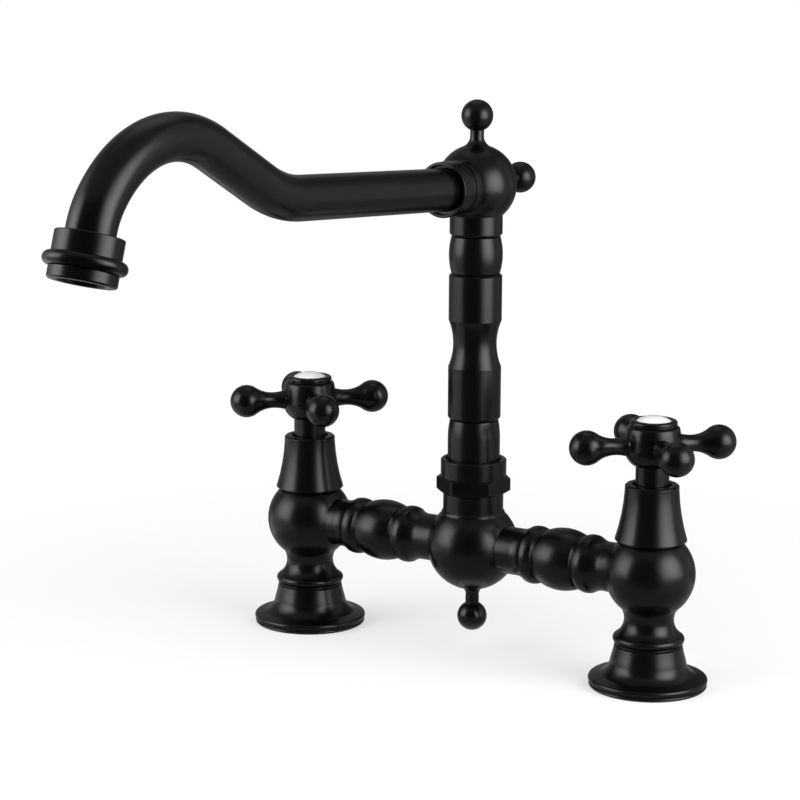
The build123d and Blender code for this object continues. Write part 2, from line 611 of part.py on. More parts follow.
def handle_arm():
    """One teardrop arm, drawn along Z from the hub's axis outwards."""
    centre_rise = ARM_NECK_RADIUS + ARM_BLEND_RADIUS
    apart = ARM_BALL_RADIUS + ARM_BLEND_RADIUS
    blend_run = sqrt(apart**2 - centre_rise**2)
    blend_start = (ARM_NECK_RADIUS, ARM_BALL_REACH - blend_run)
    share = ARM_BALL_RADIUS / apart
    blend_end = (share * centre_rise, ARM_BALL_REACH - share * blend_run)
    chord = sqrt((blend_end[0] - blend_start[0]) ** 2 + (blend_end[1] - blend_start[1]) ** 2)
    sag = ARM_BLEND_RADIUS - sqrt(ARM_BLEND_RADIUS**2 - chord**2 / 4)
    shoulder_end = ARM_SHOULDER_REACH + ARM_SHOULDER_LENGTH
    outline = (
        lines(
            (0, ARM_SHOULDER_REACH - ARM_SPIGOT_LENGTH + FIT),
            (ARM_SPIGOT_RADIUS, ARM_SHOULDER_REACH - ARM_SPIGOT_LENGTH + FIT),
            (ARM_SPIGOT_RADIUS, ARM_SHOULDER_REACH),
            (ARM_SHOULDER_RADIUS, ARM_SHOULDER_REACH),
            (ARM_SHOULDER_RADIUS, shoulder_end),
        )
        + sagged((ARM_SHOULDER_RADIUS, shoulder_end), blend_start, 0.2)
        + sagged(blend_start, blend_end, sag)
        + arc(blend_end, (ARM_BALL_RADIUS, ARM_BALL_REACH), (0, ARM_BALL_REACH + ARM_BALL_RADIUS))
        + lines((0, ARM_BALL_REACH + ARM_BALL_RADIUS), (0, ARM_SHOULDER_REACH - ARM_SPIGOT_LENGTH + FIT))
    )
    return turned(outline)


def handle_arms():
    arm = Pos(0, 0, HANDLE_Z) * Rot(0, 90, 0) * handle_arm()
    return Compound(children=around_hub(arm))


def handle_screw():
    seat = HANDLE_Z + WEB_TOP
    top = seat + SCREW_HEAD_HEIGHT
    screw = rod(SCREW_RADIUS, seat - SCREW_LENGTH, seat) + rod(SCREW_HEAD_RADIUS, seat, top)
    return screw - prism(2 * SCREW_SOCKET_RADIUS, seat + 0.6, top)


def index_bezel():
    skirt_bottom = HANDLE_Z + POCKET_FLOOR + FIT
    top = HUB_TOP_Z + BEZEL_HEIGHT
    bore = BUTTON_RADIUS + FIT
    foot = HUB_TOP_Z + 0.3
    ledge = skirt_bottom + BEZEL_LIP
    outline = (
        lines((BEZEL_LIP_RADIUS, skirt_bottom), (BEZEL_SKIRT_RADIUS, skirt_bottom))
        + lines((BEZEL_SKIRT_RADIUS, skirt_bottom), (BEZEL_SKIRT_RADIUS, HUB_TOP_Z))
        + lines((BEZEL_SKIRT_RADIUS, HUB_TOP_Z), (BEZEL_RADIUS - 0.3, HUB_TOP_Z), (BEZEL_RADIUS, foot))
        + lines((BEZEL_RADIUS, foot), (BEZEL_RADIUS, top - 1.5))
        + sagged((BEZEL_RADIUS, top - 1.5), (BEZEL_RIM_RADIUS, top), -0.5)
        + lines((BEZEL_RIM_RADIUS, top), (bore + 0.5, top), (bore, top - 0.5), (bore, ledge))
        + lines((bore, ledge), (BEZEL_LIP_RADIUS, ledge), (BEZEL_LIP_RADIUS, skirt_bottom))
    )
    return turned(outline)


def index_button():
    bottom = HANDLE_Z + POCKET_FLOOR + FIT + BEZEL_LIP
    edge = HUB_TOP_Z + BEZEL_HEIGHT - BUTTON_EDGE_DROP
    crown = edge + BUTTON_DOME
    dome_radius = (BUTTON_RADIUS**2 + BUTTON_DOME**2) / (2 * BUTTON_DOME)
    halfway = (BUTTON_RADIUS / 2, crown - dome_radius + sqrt(dome_radius**2 - BUTTON_RADIUS**2 / 4))
    outline = (
        lines((0, bottom), (BUTTON_RADIUS, bottom), (BUTTON_RADIUS, edge))
        + arc((BUTTON_RADIUS, edge), halfway, (0, crown))
        + lines((0, crown), (0, bottom))
    )
    return turned(outline)


# ---- bridge -------------------------------------------------------------------------------
def arm_ends():
    """Distances from the middle of the bridge to the shoulders that sit in the tee and the valve body."""
    tee_end = ball_edge(TEE_BALL_RADIUS, 0, ARM_SLEEVE_RADIUS, 1) - ARM_SINK
    post_end = POST_X - ball_edge(BODY_BALL_RADIUS, 0, ARM_COLLAR_RADIUS, 1) + ARM_SINK
    return tee_end, post_end


def arm_half(direction, sleeve_radius, end):
    """Outline from the bead's middle to one end: bead, groove, ring, flare, sleeve and tail."""

    def at(radius, offset):
        return (radius, ARM_BEAD_CENTRE + direction * offset)

    bead_end = ARM_BEAD_HALF
    bead_drop = (ARM_BEAD_RADIUS - ARM_BEAD_EDGE_RADIUS) / 4
    ring_edge = ARM_RING_EDGE_RADIUS + 0.35
    groove_in = bead_end + ARM_GROOVE_STEP
    groove_out = groove_in + ARM_GROOVE_WIDTH
    ring_in = groove_out + ARM_GROOVE_STEP
    ring_out = ring_in + ARM_RING_WIDTH
    flare_end = ring_out + ARM_FLARE_LENGTH
    tail_end = end + direction * (ARM_TAIL_LENGTH - FIT)
    return (
        arc(
            at(ARM_BEAD_RADIUS, 0),
            at(ARM_BEAD_RADIUS - bead_drop, bead_end / 2),
            at(ARM_BEAD_EDGE_RADIUS, bead_end),
        )
        + lines(at(ARM_BEAD_EDGE_RADIUS, bead_end), at(ARM_GROOVE_RADIUS, groove_in))
        + lines(at(ARM_GROOVE_RADIUS, groove_in), at(ARM_GROOVE_RADIUS, groove_out))
        + lines(at(ARM_GROOVE_RADIUS, groove_out), at(ARM_RING_EDGE_RADIUS, ring_in))
        + arc(
            at(ARM_RING_EDGE_RADIUS, ring_in),
            at(ARM_RING_RADIUS, ring_in + 0.45 * ARM_RING_WIDTH),
            at(ring_edge, ring_out),
        )
        + sagged(at(ring_edge, ring_out), at(sleeve_radius, flare_end), direction * ARM_FLARE_SAG)
        + lines(at(sleeve_radius, flare_end), (sleeve_radius, end), (ARM_TAIL_RADIUS, end))
        + lines((ARM_TAIL_RADIUS, end), (ARM_TAIL_RADIUS, tail_end), (WATERWAY_RADIUS, tail_end))
    )


def bridge_arm(side):
    tee_end, post_end = arm_ends()
    tail_reach = ARM_TAIL_LENGTH - FIT
    bore = lines((WATERWAY_RADIUS, post_end + tail_reach), (WATERWAY_RADIUS, tee_end - tail_reach))
    body = turned(arm_half(1, ARM_COLLAR_RADIUS, post_end), arm_half(-1, ARM_SLEEVE_RADIUS, tee_end), bore)
    for height in arm_ring_places():
        body -= ring_groove(ARM_TAIL_RADIUS, RING_SECTION, height)
    return lay_along_bridge(side, body)


def arm_ring_places():
    tee_end, post_end = arm_ends()
    return (tee_end - ARM_TAIL_LENGTH + ARM_RING_INSET, post_end + ARM_TAIL_LENGTH - ARM_RING_INSET)


def arm_o_rings(side):
    middle = ARM_TAIL_RADIUS - RING_SECTION
    rings = [seal_ring(middle, RING_SECTION - FIT / 2, z) for z in arm_ring_places()]
    return Compound(children=[lay_along_bridge(side, ring) for ring in rings])


def lay_along_bridge(side, piece):
    """Lays a piece drawn on Z along the bridge axis, towards one post."""
    return Pos(0, 0, BRIDGE_HEIGHT) * Rot(0, 90 * SIDES[side], 0) * piece


def mixing_tee():
    base = BRIDGE_HEIGHT
    neck_bottom = ball_edge(TEE_BALL_RADIUS, base, TEE_NECK_RADIUS, 1)
    foot_z = ball_edge(TEE_BALL_RADIUS, base, LOWER_FINIAL_FOOT_RADIUS, -1)
    foot = (LOWER_FINIAL_FOOT_RADIUS, foot_z)
    outline = (
        lines((0, foot_z), foot)
        + arc(foot, (TEE_BALL_RADIUS, base), (TEE_NECK_RADIUS, neck_bottom))
        + lines((TEE_NECK_RADIUS, neck_bottom), (TEE_NECK_RADIUS, base + TEE_NECK_TOP))
        + lines((TEE_NECK_RADIUS, base + TEE_NECK_TOP), (TEE_THREAD_RADIUS, base + TEE_NECK_TOP))
        + lines((TEE_THREAD_RADIUS, base + TEE_NECK_TOP), (TEE_THREAD_RADIUS, base + TEE_THREAD_TOP))
        + lines((TEE_THREAD_RADIUS, base + TEE_THREAD_TOP), (0, base + TEE_THREAD_TOP), (0, foot_z))
    )
    tee = turned(outline)
    bush_floor = base + TEE_THREAD_TOP - BUSH_DEPTH
    tee -= rod(COLUMN_BORE_RADIUS, base, base + TEE_STEP)
    tee -= rod(TAIL_RADIUS + RUNNING, base + TEE_STEP, bush_floor)
    tee -= rod(TEE_BORE_RADIUS, bush_floor, base + TEE_THREAD_TOP)
    tee -= rod(FINIAL_TAIL_RADIUS + FIT, foot_z, foot_z + FINIAL_TAIL_LENGTH)
    for direction in (-1, 1):
        tee -= arm_socket(TEE_BALL_RADIUS, ARM_SLEEVE_RADIUS, direction)
    return tee


# ---- swivel -------------------------------------------------------------------------------
def union_nut():
    base = BRIDGE_HEIGHT
    hex_bottom, hex_top = base + NUT_BOTTOM, base + NUT_BOTTOM + NUT_HEX_HEIGHT
    corner = NUT_FLATS / sqrt(3)
    crown = turned(
        lines(
            (0, hex_bottom),
            (NUT_FOOT_RADIUS, hex_bottom),
            (corner, hex_bottom + NUT_FOOT_BEVEL),
            (corner, hex_top - NUT_TOP_BEVEL),
            (NUT_COLLAR_RADIUS + NUT_LAND, hex_top),
            (0, hex_top),
            (0, hex_bottom),
        )
    )
    nut = prism(NUT_FLATS, hex_bottom, hex_top, NUT_TURN) & crown
    collar = lines(
        (0, hex_top),
        (NUT_COLLAR_RADIUS, hex_top),
        (NUT_COLLAR_RADIUS, base + NUT_TOP - 0.6),
        (NUT_COLLAR_RADIUS - 0.6, base + NUT_TOP),
        (0, base + NUT_TOP),
        (0, hex_top),
    )
    nut += turned(collar)
    nut -= rod(TEE_THREAD_RADIUS + FIT, hex_bottom, base + NUT_LIP_BOTTOM)
    mouth = (
        lines((0, base + NUT_LIP_BOTTOM), (NUT_LIP_RADIUS, base + NUT_LIP_BOTTOM))
        + lines((NUT_LIP_RADIUS, base + NUT_LIP_BOTTOM), (NUT_LIP_RADIUS, base + NUT_LIP_TOP))
        + lines((NUT_LIP_RADIUS, base + NUT_LIP_TOP), (NUT_MOUTH_RADIUS, base + NUT_TOP))
        + lines((NUT_MOUTH_RADIUS, base + NUT_TOP), (0, base + NUT_TOP), (0, base + NUT_LIP_BOTTOM))
    )
    return nut - turned(mouth)


def swivel_bush():
    top = BRIDGE_HEIGHT + TEE_THREAD_TOP
    inner = TAIL_RADIUS + RUNNING
    sleeve = tube(inner + BUSH_WALL, inner, top - BUSH_DEPTH, top)
    return sleeve + tube(BUSH_FLANGE_RADIUS, inner, top, top + BUSH_FLANGE)


def retaining_ring():
    bottom = BRIDGE_HEIGHT + CLIP_BOTTOM
    ring = tube(CLIP_RADIUS, CLIP_ROOT_RADIUS + FIT, bottom, bottom + CLIP_THICKNESS)
    opening = Pos(0, CLIP_RADIUS, bottom) * Box(CLIP_OPENING, 2 * CLIP_RADIUS, 4 * CLIP_THICKNESS)
    return ring - opening


def swivel_o_rings():
    middle = TAIL_RADIUS - TAIL_RING_SECTION
    rings = [seal_ring(middle, TAIL_RING_SECTION - FIT / 2, BRIDGE_HEIGHT + z) for z in TAIL_RING_HEIGHTS]
    return Compound(children=rings)


# ---- column -------------------------------------------------------------------------------
def column_foot():
    base = BRIDGE_HEIGHT
    shoulder = base + TEE_THREAD_TOP + BUSH_FLANGE + LAPPED
    top = base + FOOT_TOP
    outline = (
        lines((0, base + TAIL_BOTTOM), (TAIL_RADIUS, base + TAIL_BOTTOM), (TAIL_RADIUS, shoulder))
        + lines((TAIL_RADIUS, shoulder), (FOOT_RADIUS, shoulder), (FOOT_RADIUS, top - FOOT_ROUND))
        + sagged((FOOT_RADIUS, top - FOOT_ROUND), (COLUMN_GROOVE_RADIUS, top), -FOOT_ROUND_SAG)
        + lines((COLUMN_GROOVE_RADIUS, top), (PLUG_RADIUS, top), (PLUG_RADIUS, top + PLUG_LENGTH))
        + lines((PLUG_RADIUS, top + PLUG_LENGTH), (0, top + PLUG_LENGTH), (0, base + TAIL_BOTTOM))
    )
    foot = turned(outline) - rod(COLUMN_BORE_RADIUS, base + TAIL_BOTTOM, top + PLUG_LENGTH)
    clip = base + CLIP_BOTTOM
    foot -= tube(FOOT_RADIUS + 1, CLIP_ROOT_RADIUS, clip - FIT, clip + CLIP_THICKNESS + FIT)
    for height in TAIL_RING_HEIGHTS:
        foot -= ring_groove(TAIL_RADIUS, TAIL_RING_SECTION, base + height)
    return foot


def column():
    middle = (COLUMN_BOTTOM + COLUMN_TOP) / 2 + 1.6
    waist_bottom, waist_top = middle - COLUMN_WAIST_HALF, middle + COLUMN_WAIST_HALF
    bore = PLUG_RADIUS + FIT
    lower_step, upper_step = COLUMN_BOTTOM + PLUG_LENGTH, COLUMN_TOP - PLUG_LENGTH - SEAM
    outline = (
        lines((bore, COLUMN_BOTTOM), (COLUMN_GROOVE_RADIUS, COLUMN_BOTTOM))
        + lines((COLUMN_GROOVE_RADIUS, COLUMN_BOTTOM), (COLUMN_RADIUS, COLUMN_BOTTOM + COLUMN_CHAMFER))
        + lines((COLUMN_RADIUS, COLUMN_BOTTOM + COLUMN_CHAMFER), (COLUMN_RADIUS, waist_bottom))
        + arc((COLUMN_RADIUS, waist_bottom), (COLUMN_WAIST_RADIUS, middle), (COLUMN_RADIUS, waist_top))
        + lines((COLUMN_RADIUS, waist_top), (COLUMN_RADIUS, COLUMN_TOP - COLUMN_CHAMFER))
        + lines((COLUMN_RADIUS, COLUMN_TOP - COLUMN_CHAMFER), (COLUMN_GROOVE_RADIUS, COLUMN_TOP))
        + lines((COLUMN_GROOVE_RADIUS, COLUMN_TOP), (bore, COLUMN_TOP), (bore, upper_step))
        + lines((bore, upper_step), (COLUMN_BORE_RADIUS, upper_step), (COLUMN_BORE_RADIUS, lower_step))
        + lines((COLUMN_BORE_RADIUS, lower_step), (bore, lower_step), (bore, COLUMN_BOTTOM))
    )
    return turned(outline)


def column_ferrule():
    middle = (FERRULE_BOTTOM + FERRULE_TOP) / 2
    lower_end, upper_end = FERRULE_BOTTOM - PLUG_LENGTH, FERRULE_TOP + PLUG_LENGTH
    bead = arc(
        (COLUMN_GROOVE_RADIUS, FERRULE_BOTTOM),
        (FERRULE_RADIUS, middle),
        (COLUMN_GROOVE_RADIUS, FERRULE_TOP),
    )
    outline = (
        lines((COLUMN_BORE_RADIUS, lower_end), (PLUG_RADIUS, lower_end), (PLUG_RADIUS, FERRULE_BOTTOM))
        + lines((PLUG_RADIUS, FERRULE_BOTTOM), (COLUMN_GROOVE_RADIUS, FERRULE_BOTTOM))
        + bead
        + lines((COLUMN_GROOVE_RADIUS, FERRULE_TOP), (PLUG_RADIUS, FERRULE_TOP), (PLUG_RADIUS, upper_end))
        + lines((PLUG_RADIUS, upper_end), (COLUMN_BORE_RADIUS, upper_end), (COLUMN_BORE_RADIUS, lower_end))
    )
    return turned(outline)


# ---- head ---------------------------------------------------------------------------------
def head_body():
    neck_top = ball_edge(HEAD_BALL_RADIUS, HEAD_Z, HEAD_NECK_RADIUS, -1)
    flat = ball_edge(HEAD_BALL_RADIUS, 0, FINIAL_FOOT_RADIUS, 1)
    outline = (
        lines((0, HEAD_BOTTOM), (COLUMN_GROOVE_RADIUS, HEAD_BOTTOM))
        + lines((COLUMN_GROOVE_RADIUS, HEAD_BOTTOM), (HEAD_NECK_RADIUS, HEAD_BOTTOM + COLUMN_CHAMFER))
        + lines((HEAD_NECK_RADIUS, HEAD_BOTTOM + COLUMN_CHAMFER), (HEAD_NECK_RADIUS, neck_top))
        + arc((HEAD_NECK_RADIUS, neck_top), (HEAD_BALL_RADIUS, HEAD_Z), (FINIAL_FOOT_RADIUS, HEAD_Z + flat))
        + lines((FINIAL_FOOT_RADIUS, HEAD_Z + flat), (0, HEAD_Z + flat), (0, HEAD_BOTTOM))
    )
    boss = rod(HEAD_BOSS_RADIUS, 0, HEAD_BOSS_REACH)
    boss += rod(NIPPLE_UNDERCUT_RADIUS, HEAD_BOSS_REACH, RING_REACH)
    boss += rod(NIPPLE_RADIUS, RING_REACH, NIPPLE_REACH)
    head = turned(outline) + FRONT * boss
    head -= BACK * rod(FINIAL_FOOT_RADIUS + 4, flat, HEAD_BALL_RADIUS + 1)
    head -= rod(PLUG_RADIUS + FIT, HEAD_BOTTOM, HEAD_BOTTOM + PLUG_LENGTH)
    head -= rod(COLUMN_BORE_RADIUS, HEAD_BOTTOM, HEAD_Z)
    head -= FRONT * rod(TUBE_BORE_RADIUS, 0, TUBE_ROOT)
    head -= FRONT * rod(TUBE_RADIUS + FIT, TUBE_ROOT, NIPPLE_REACH)
    ring_half = TUBE_RING_SECTION + RING_SLACK
    ring_room = TUBE_RADIUS + 2 * TUBE_RING_SECTION
    head -= FRONT * rod(ring_room, TUBE_RING_REACH - ring_half, TUBE_RING_REACH + ring_half)
    hole = rod(FINIAL_TAIL_RADIUS + FIT, flat - FINIAL_TAIL_LENGTH - FIT, flat)
    return head - TOP * hole - BACK * hole


def finial(foot_reach, foot_radius, ball_reach, ball_radius):
    """A turned knob drawn along Z from the centre of the ball that carries it."""
    neck_end = ball_edge(ball_radius, ball_reach, FINIAL_NECK_RADIUS, -1)
    flare_end = foot_reach + FINIAL_FLARE
    tail_end = foot_reach - FINIAL_TAIL_LENGTH
    outline = (
        lines((0, tail_end), (FINIAL_TAIL_RADIUS, tail_end), (FINIAL_TAIL_RADIUS, foot_reach))
        + lines((FINIAL_TAIL_RADIUS, foot_reach), (foot_radius, foot_reach))
        + sagged((foot_radius, foot_reach), (FINIAL_NECK_RADIUS, flare_end), 0.75)
        + lines((FINIAL_NECK_RADIUS, flare_end), (FINIAL_NECK_RADIUS, neck_end))
        + arc((FINIAL_NECK_RADIUS, neck_end), (ball_radius, ball_reach), (0, ball_reach + ball_radius))
        + lines((0, ball_reach + ball_radius), (0, tail_end))
    )
    return turned(outline)


def top_finial():
    seat = ball_edge(HEAD_BALL_RADIUS, 0, FINIAL_FOOT_RADIUS, 1)
    return TOP * finial(seat, FINIAL_FOOT_RADIUS, TOP_FINIAL_REACH, TOP_FINIAL_BALL_RADIUS)


def rear_finial():
    seat = ball_edge(HEAD_BALL_RADIUS, 0, FINIAL_FOOT_RADIUS, 1)
    return BACK * finial(seat, FINIAL_FOOT_RADIUS, REAR_FINIAL_REACH, TOP_FINIAL_BALL_RADIUS)


def lower_finial():
    seat = ball_edge(TEE_BALL_RADIUS, 0, LOWER_FINIAL_FOOT_RADIUS, 1)
    return BELOW * finial(seat, LOWER_FINIAL_FOOT_RADIUS, LOWER_FINIAL_REACH, LOWER_FINIAL_BALL_RADIUS)


def collar_ring():
    edge = 0.25
    inner = NIPPLE_RADIUS + FIT
    end = RING_REACH + RING_WIDTH
    outline = lines(
        (inner, RING_REACH),
        (RING_RADIUS - edge, RING_REACH),
        (RING_RADIUS, RING_REACH + edge),
        (RING_RADIUS, end - edge),
        (RING_RADIUS - edge, end),
        (inner, end),
        (inner, RING_REACH),
    )
    return FRONT * turned(outline)


def spout_collar():
    end = COLLAR_REACH + COLLAR_LENGTH
    recess = end - COLLAR_RECESS
    lip = recess - COLLAR_LIP
    thread = NIPPLE_RADIUS + FIT
    lip_radius = TUBE_RADIUS + FIT
    outline = (
        lines((thread, COLLAR_REACH), (COLLAR_RADIUS - 0.3, COLLAR_REACH))
        + lines((COLLAR_RADIUS - 0.3, COLLAR_REACH), (COLLAR_RADIUS, COLLAR_REACH + 0.3))
        + lines((COLLAR_RADIUS, COLLAR_REACH + 0.3), (COLLAR_RADIUS, end - COLLAR_EDGE))
        + sagged((COLLAR_RADIUS, end - COLLAR_EDGE), (COLLAR_RADIUS - COLLAR_EDGE, end), -0.17)
        + lines((COLLAR_RADIUS - COLLAR_EDGE, end), (COLLAR_RECESS_RADIUS, end))
        + lines((COLLAR_RECESS_RADIUS, end), (COLLAR_RECESS_RADIUS, recess))
        + lines((COLLAR_RECESS_RADIUS, recess), (lip_radius, recess), (lip_radius, lip))
        + lines((lip_radius, lip), (thread, lip), (thread, COLLAR_REACH))
    )
    return FRONT * turned(outline)


# ---- spout --------------------------------------------------------------------------------
def spout_walk():
    """The tube's route as (kind, size, heading): it starts level, at the head's height."""
    return (
        ("run", TUBE_LEVEL_END - TUBE_ROOT, 0.0),
        ("bend", RISE_BEND, RISE_ANGLE),
        ("run", RISE_LENGTH, RISE_ANGLE),
        ("bend", CLIMB_BEND, CLIMB_ANGLE),
        ("run", CLIMB_LENGTH, CLIMB_ANGLE),
        ("bend", CROOK_BEND, CROOK_END_ANGLE),
        ("bend", TIP_BEND, OUTLET_ANGLE),
        ("run", TIP_LENGTH, OUTLET_ANGLE),
    )


def reach(distance, height):
    """A point of the spout's upright plane: distance in front of the column, height above the worktop."""
    return Vector(0, -distance, height)


def spout_route():
    """The edges of the tube's centre line, and the point where the outlet collar starts."""
    distance, height, heading = TUBE_ROOT, HEAD_Z, 0.0
    edges = []
    for kind, size, goal in spout_walk():
        start = reach(distance, height)
        if kind == "run":
            distance += size * cos(radians(goal))
            height += size * sin(radians(goal))
            edges.append(Line(start, reach(distance, height)))
            continue
        turn = 1 if goal > heading else -1
        arm = turn * size
        centre = (distance - arm * sin(radians(heading)), height + arm * cos(radians(heading)))
        half, end = [
            (centre[0] + arm * sin(radians(angle)), centre[1] - arm * cos(radians(angle)))
            for angle in ((heading + goal) / 2, goal)
        ]
        edges.append(ThreePointArc(start, reach(*half), reach(*end)))
        distance, height, heading = end[0], end[1], goal
    return edges, (distance, height)


def outlet_frame():
    """A plane at the tube's visible end, whose Z runs out of the spout."""
    _, (distance, height) = spout_route()
    forward = reach(cos(radians(OUTLET_ANGLE)), sin(radians(OUTLET_ANGLE)))
    return Plane(origin=reach(distance, height), x_dir=(1, 0, 0), z_dir=forward)


def spout_tube():
    edges, (distance, height) = spout_route()
    end = reach(
        distance + OUTLET_SOCKET * cos(radians(OUTLET_ANGLE)),
        height + OUTLET_SOCKET * sin(radians(OUTLET_ANGLE)),
    )
    edges.append(Line(reach(distance, height), end))
    path = Wire(edges)
    start = Plane(origin=reach(TUBE_ROOT, HEAD_Z), x_dir=(1, 0, 0), z_dir=(0, -1, 0))
    outside = sweep(start * Circle(TUBE_RADIUS), path=path)
    return outside - sweep(start * Circle(TUBE_BORE_RADIUS), path=path)


def spout_olive():
    start = NIPPLE_REACH + FIT
    return FRONT * tube(OLIVE_RADIUS, TUBE_RADIUS + FIT, start, start + OLIVE_WIDTH)


def spout_o_ring():
    return FRONT * seal_ring(TUBE_RADIUS + TUBE_RING_SECTION, TUBE_RING_SECTION - FIT / 2, TUBE_RING_REACH)


# ---- outlet: drawn along Z, from the collar's upper face towards the mouth -------------------
def outlet_collar():
    end = OUTLET_LENGTH + OUTLET_BEAD_WIDTH
    middle = OUTLET_LENGTH + OUTLET_BEAD_WIDTH / 2
    socket = TUBE_RADIUS + FIT
    thread = MOUTH_THREAD_RADIUS + FIT
    edge = OUTLET_RADIUS + 0.2
    floor = OUTLET_SOCKET + OUTLET_SEAT
    outline = (
        lines((socket, 0), (OUTLET_RADIUS - OUTLET_EDGE, 0), (OUTLET_RADIUS, OUTLET_EDGE))
        + lines((OUTLET_RADIUS, OUTLET_EDGE), (OUTLET_RADIUS, OUTLET_LENGTH), (edge, OUTLET_LENGTH))
        + arc((edge, OUTLET_LENGTH), (OUTLET_BEAD_RADIUS, middle), (edge, end))
        + lines((edge, end), (thread, end), (thread, floor), (TUBE_BORE_RADIUS, floor))
        + lines((TUBE_BORE_RADIUS, floor), (TUBE_BORE_RADIUS, OUTLET_SOCKET), (socket, OUTLET_SOCKET))
        + lines((socket, OUTLET_SOCKET), (socket, 0))
    )
    return outlet_frame() * turned(outline)


def mouth_levels():
    """Distances from the collar's upper face to the housing's thread, shoulder, lip and end."""
    shoulder = OUTLET_LENGTH + OUTLET_BEAD_WIDTH
    end = shoulder + MOUTH_LENGTH
    return OUTLET_SOCKET + OUTLET_SEAT + FIT, shoulder, end - MOUTH_LIP, end


def aerator_housing():
    thread, shoulder, lip, end = mouth_levels()
    outline = lines(
        (MOUTH_BORE_RADIUS, thread),
        (MOUTH_THREAD_RADIUS, thread),
        (MOUTH_THREAD_RADIUS, shoulder),
        (OUTLET_RADIUS - 0.3, shoulder),
        (OUTLET_RADIUS, shoulder + 0.3),
        (OUTLET_RADIUS, end - MOUTH_BEVEL),
        (OUTLET_RADIUS - MOUTH_BEVEL, end),
        (MOUTH_RADIUS + MOUTH_BEVEL, end),
        (MOUTH_RADIUS, end - MOUTH_BEVEL),
        (MOUTH_RADIUS, lip),
        (MOUTH_BORE_RADIUS, lip),
        (MOUTH_BORE_RADIUS, thread),
    )
    return outlet_frame() * turned(outline)


def aerator_insert():
    lip = mouth_levels()[2]
    radius = MOUTH_BORE_RADIUS - FIT
    plate = rod(radius, lip - INSERT_THICKNESS, lip)
    hole = rod(INSERT_HOLE_RADIUS, lip - INSERT_THICKNESS, lip)
    row_step = INSERT_PITCH * sqrt(3) / 2
    holes = [
        Pos(INSERT_PITCH * (column + row / 2), row_step * row, 0) * hole
        for row in range(-INSERT_ROWS, INSERT_ROWS + 1)
        for column in range(-2 * INSERT_ROWS, 2 * INSERT_ROWS + 1)
        if abs(column + row) <= INSERT_ROWS and abs(column) <= INSERT_ROWS
    ]
    return outlet_frame() * (plate - holes)


def aerator_washer():
    bottom = mouth_levels()[2] - INSERT_THICKNESS
    ring = tube(MOUTH_BORE_RADIUS - FIT, WASHER_INNER_RADIUS, bottom - WASHER_THICKNESS, bottom)
    return outlet_frame() * ring


# ---- the set ------------------------------------------------------------------------------
POST_PIECES = {
    "flange": flange,
    "flange_gasket": flange_gasket,
    "bonnet": bonnet,
    "cartridge_body": cartridge_body,
    "cartridge_o_ring": cartridge_o_ring,
    "seat_seal": seat_seal,
    "fixed_disc": fixed_disc,
    "moving_disc": moving_disc,
    "stem": stem,
    "stem_o_rings": stem_o_rings,
    "stem_sleeve": stem_sleeve,
    "handle_hub": handle_hub,
    "handle_arms": handle_arms,
    "handle_screw": handle_screw,
    "index_bezel": index_bezel,
    "index_button": index_button,
}
MIDDLE_PIECES = {
    "mixing_tee": mixing_tee,
    "lower_finial": lower_finial,
    "union_nut": union_nut,
    "swivel_bush": swivel_bush,
    "retaining_ring": retaining_ring,
    "swivel_o_rings": swivel_o_rings,
    "column_foot": column_foot,
    "column": column,
    "column_ferrule": column_ferrule,
    "head_body": head_body,
    "top_finial": top_finial,
    "rear_finial": rear_finial,
    "collar_ring": collar_ring,
    "spout_collar": spout_collar,
    "spout_tube": spout_tube,
    "spout_olive": spout_olive,
    "spout_o_ring": spout_o_ring,
    "outlet_collar": outlet_collar,
    "aerator_housing": aerator_housing,
    "aerator_insert": aerator_insert,
    "aerator_washer": aerator_washer,
}


def save(name, piece):
    export_step(piece, f"parts/{name}.step")


def main():
    os.makedirs("parts", exist_ok=True)
    for name, make in POST_PIECES.items():
        piece = make()
        for side in SIDES:
            save(f"{side}_{name}", place(side, piece))
    for side in SIDES:
        save(f"{side}_valve_body", place(side, valve_body(side)))
        save(f"{side}_bridge_arm", bridge_arm(side))
        save(f"{side}_arm_o_rings", arm_o_rings(side))
    for name, make in MIDDLE_PIECES.items():
        save(name, make())


main()
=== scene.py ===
"""Looks of the bridge kitchen faucet: coated turned pieces, glazed buttons, inner fittings and a studio.

Every piece is built at its place in the row frame, in metres. Sizes are written in millimetres
and given to Blender as metres. Most pieces are surfaces of revolution: an outline of radius and
height, carried round an axis.
"""

import bpy
import numpy as np
from bpy.props import FloatProperty, FloatVectorProperty, IntProperty, PointerProperty
from mathutils import Matrix, Vector


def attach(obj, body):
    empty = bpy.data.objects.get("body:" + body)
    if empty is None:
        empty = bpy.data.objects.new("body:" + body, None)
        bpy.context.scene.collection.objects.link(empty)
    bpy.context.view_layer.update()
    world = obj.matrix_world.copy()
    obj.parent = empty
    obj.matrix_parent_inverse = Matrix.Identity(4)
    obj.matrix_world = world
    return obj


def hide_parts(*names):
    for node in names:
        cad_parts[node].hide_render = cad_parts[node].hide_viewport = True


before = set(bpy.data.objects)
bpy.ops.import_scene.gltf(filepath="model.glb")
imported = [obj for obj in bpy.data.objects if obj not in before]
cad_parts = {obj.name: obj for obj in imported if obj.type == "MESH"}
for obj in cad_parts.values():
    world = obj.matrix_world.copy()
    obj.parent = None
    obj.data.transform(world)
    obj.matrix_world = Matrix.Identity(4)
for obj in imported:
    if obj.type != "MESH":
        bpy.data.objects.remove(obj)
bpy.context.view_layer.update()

MM = 0.001
SIDES = {"hot": -1.0, "cold": 1.0}
UP, DOWN = (0.0, 0.0, 1.0), (0.0, 0.0, -1.0)
FORWARD, BACKWARD = (0.0, -1.0, 0.0), (0.0, 1.0, 0.0)

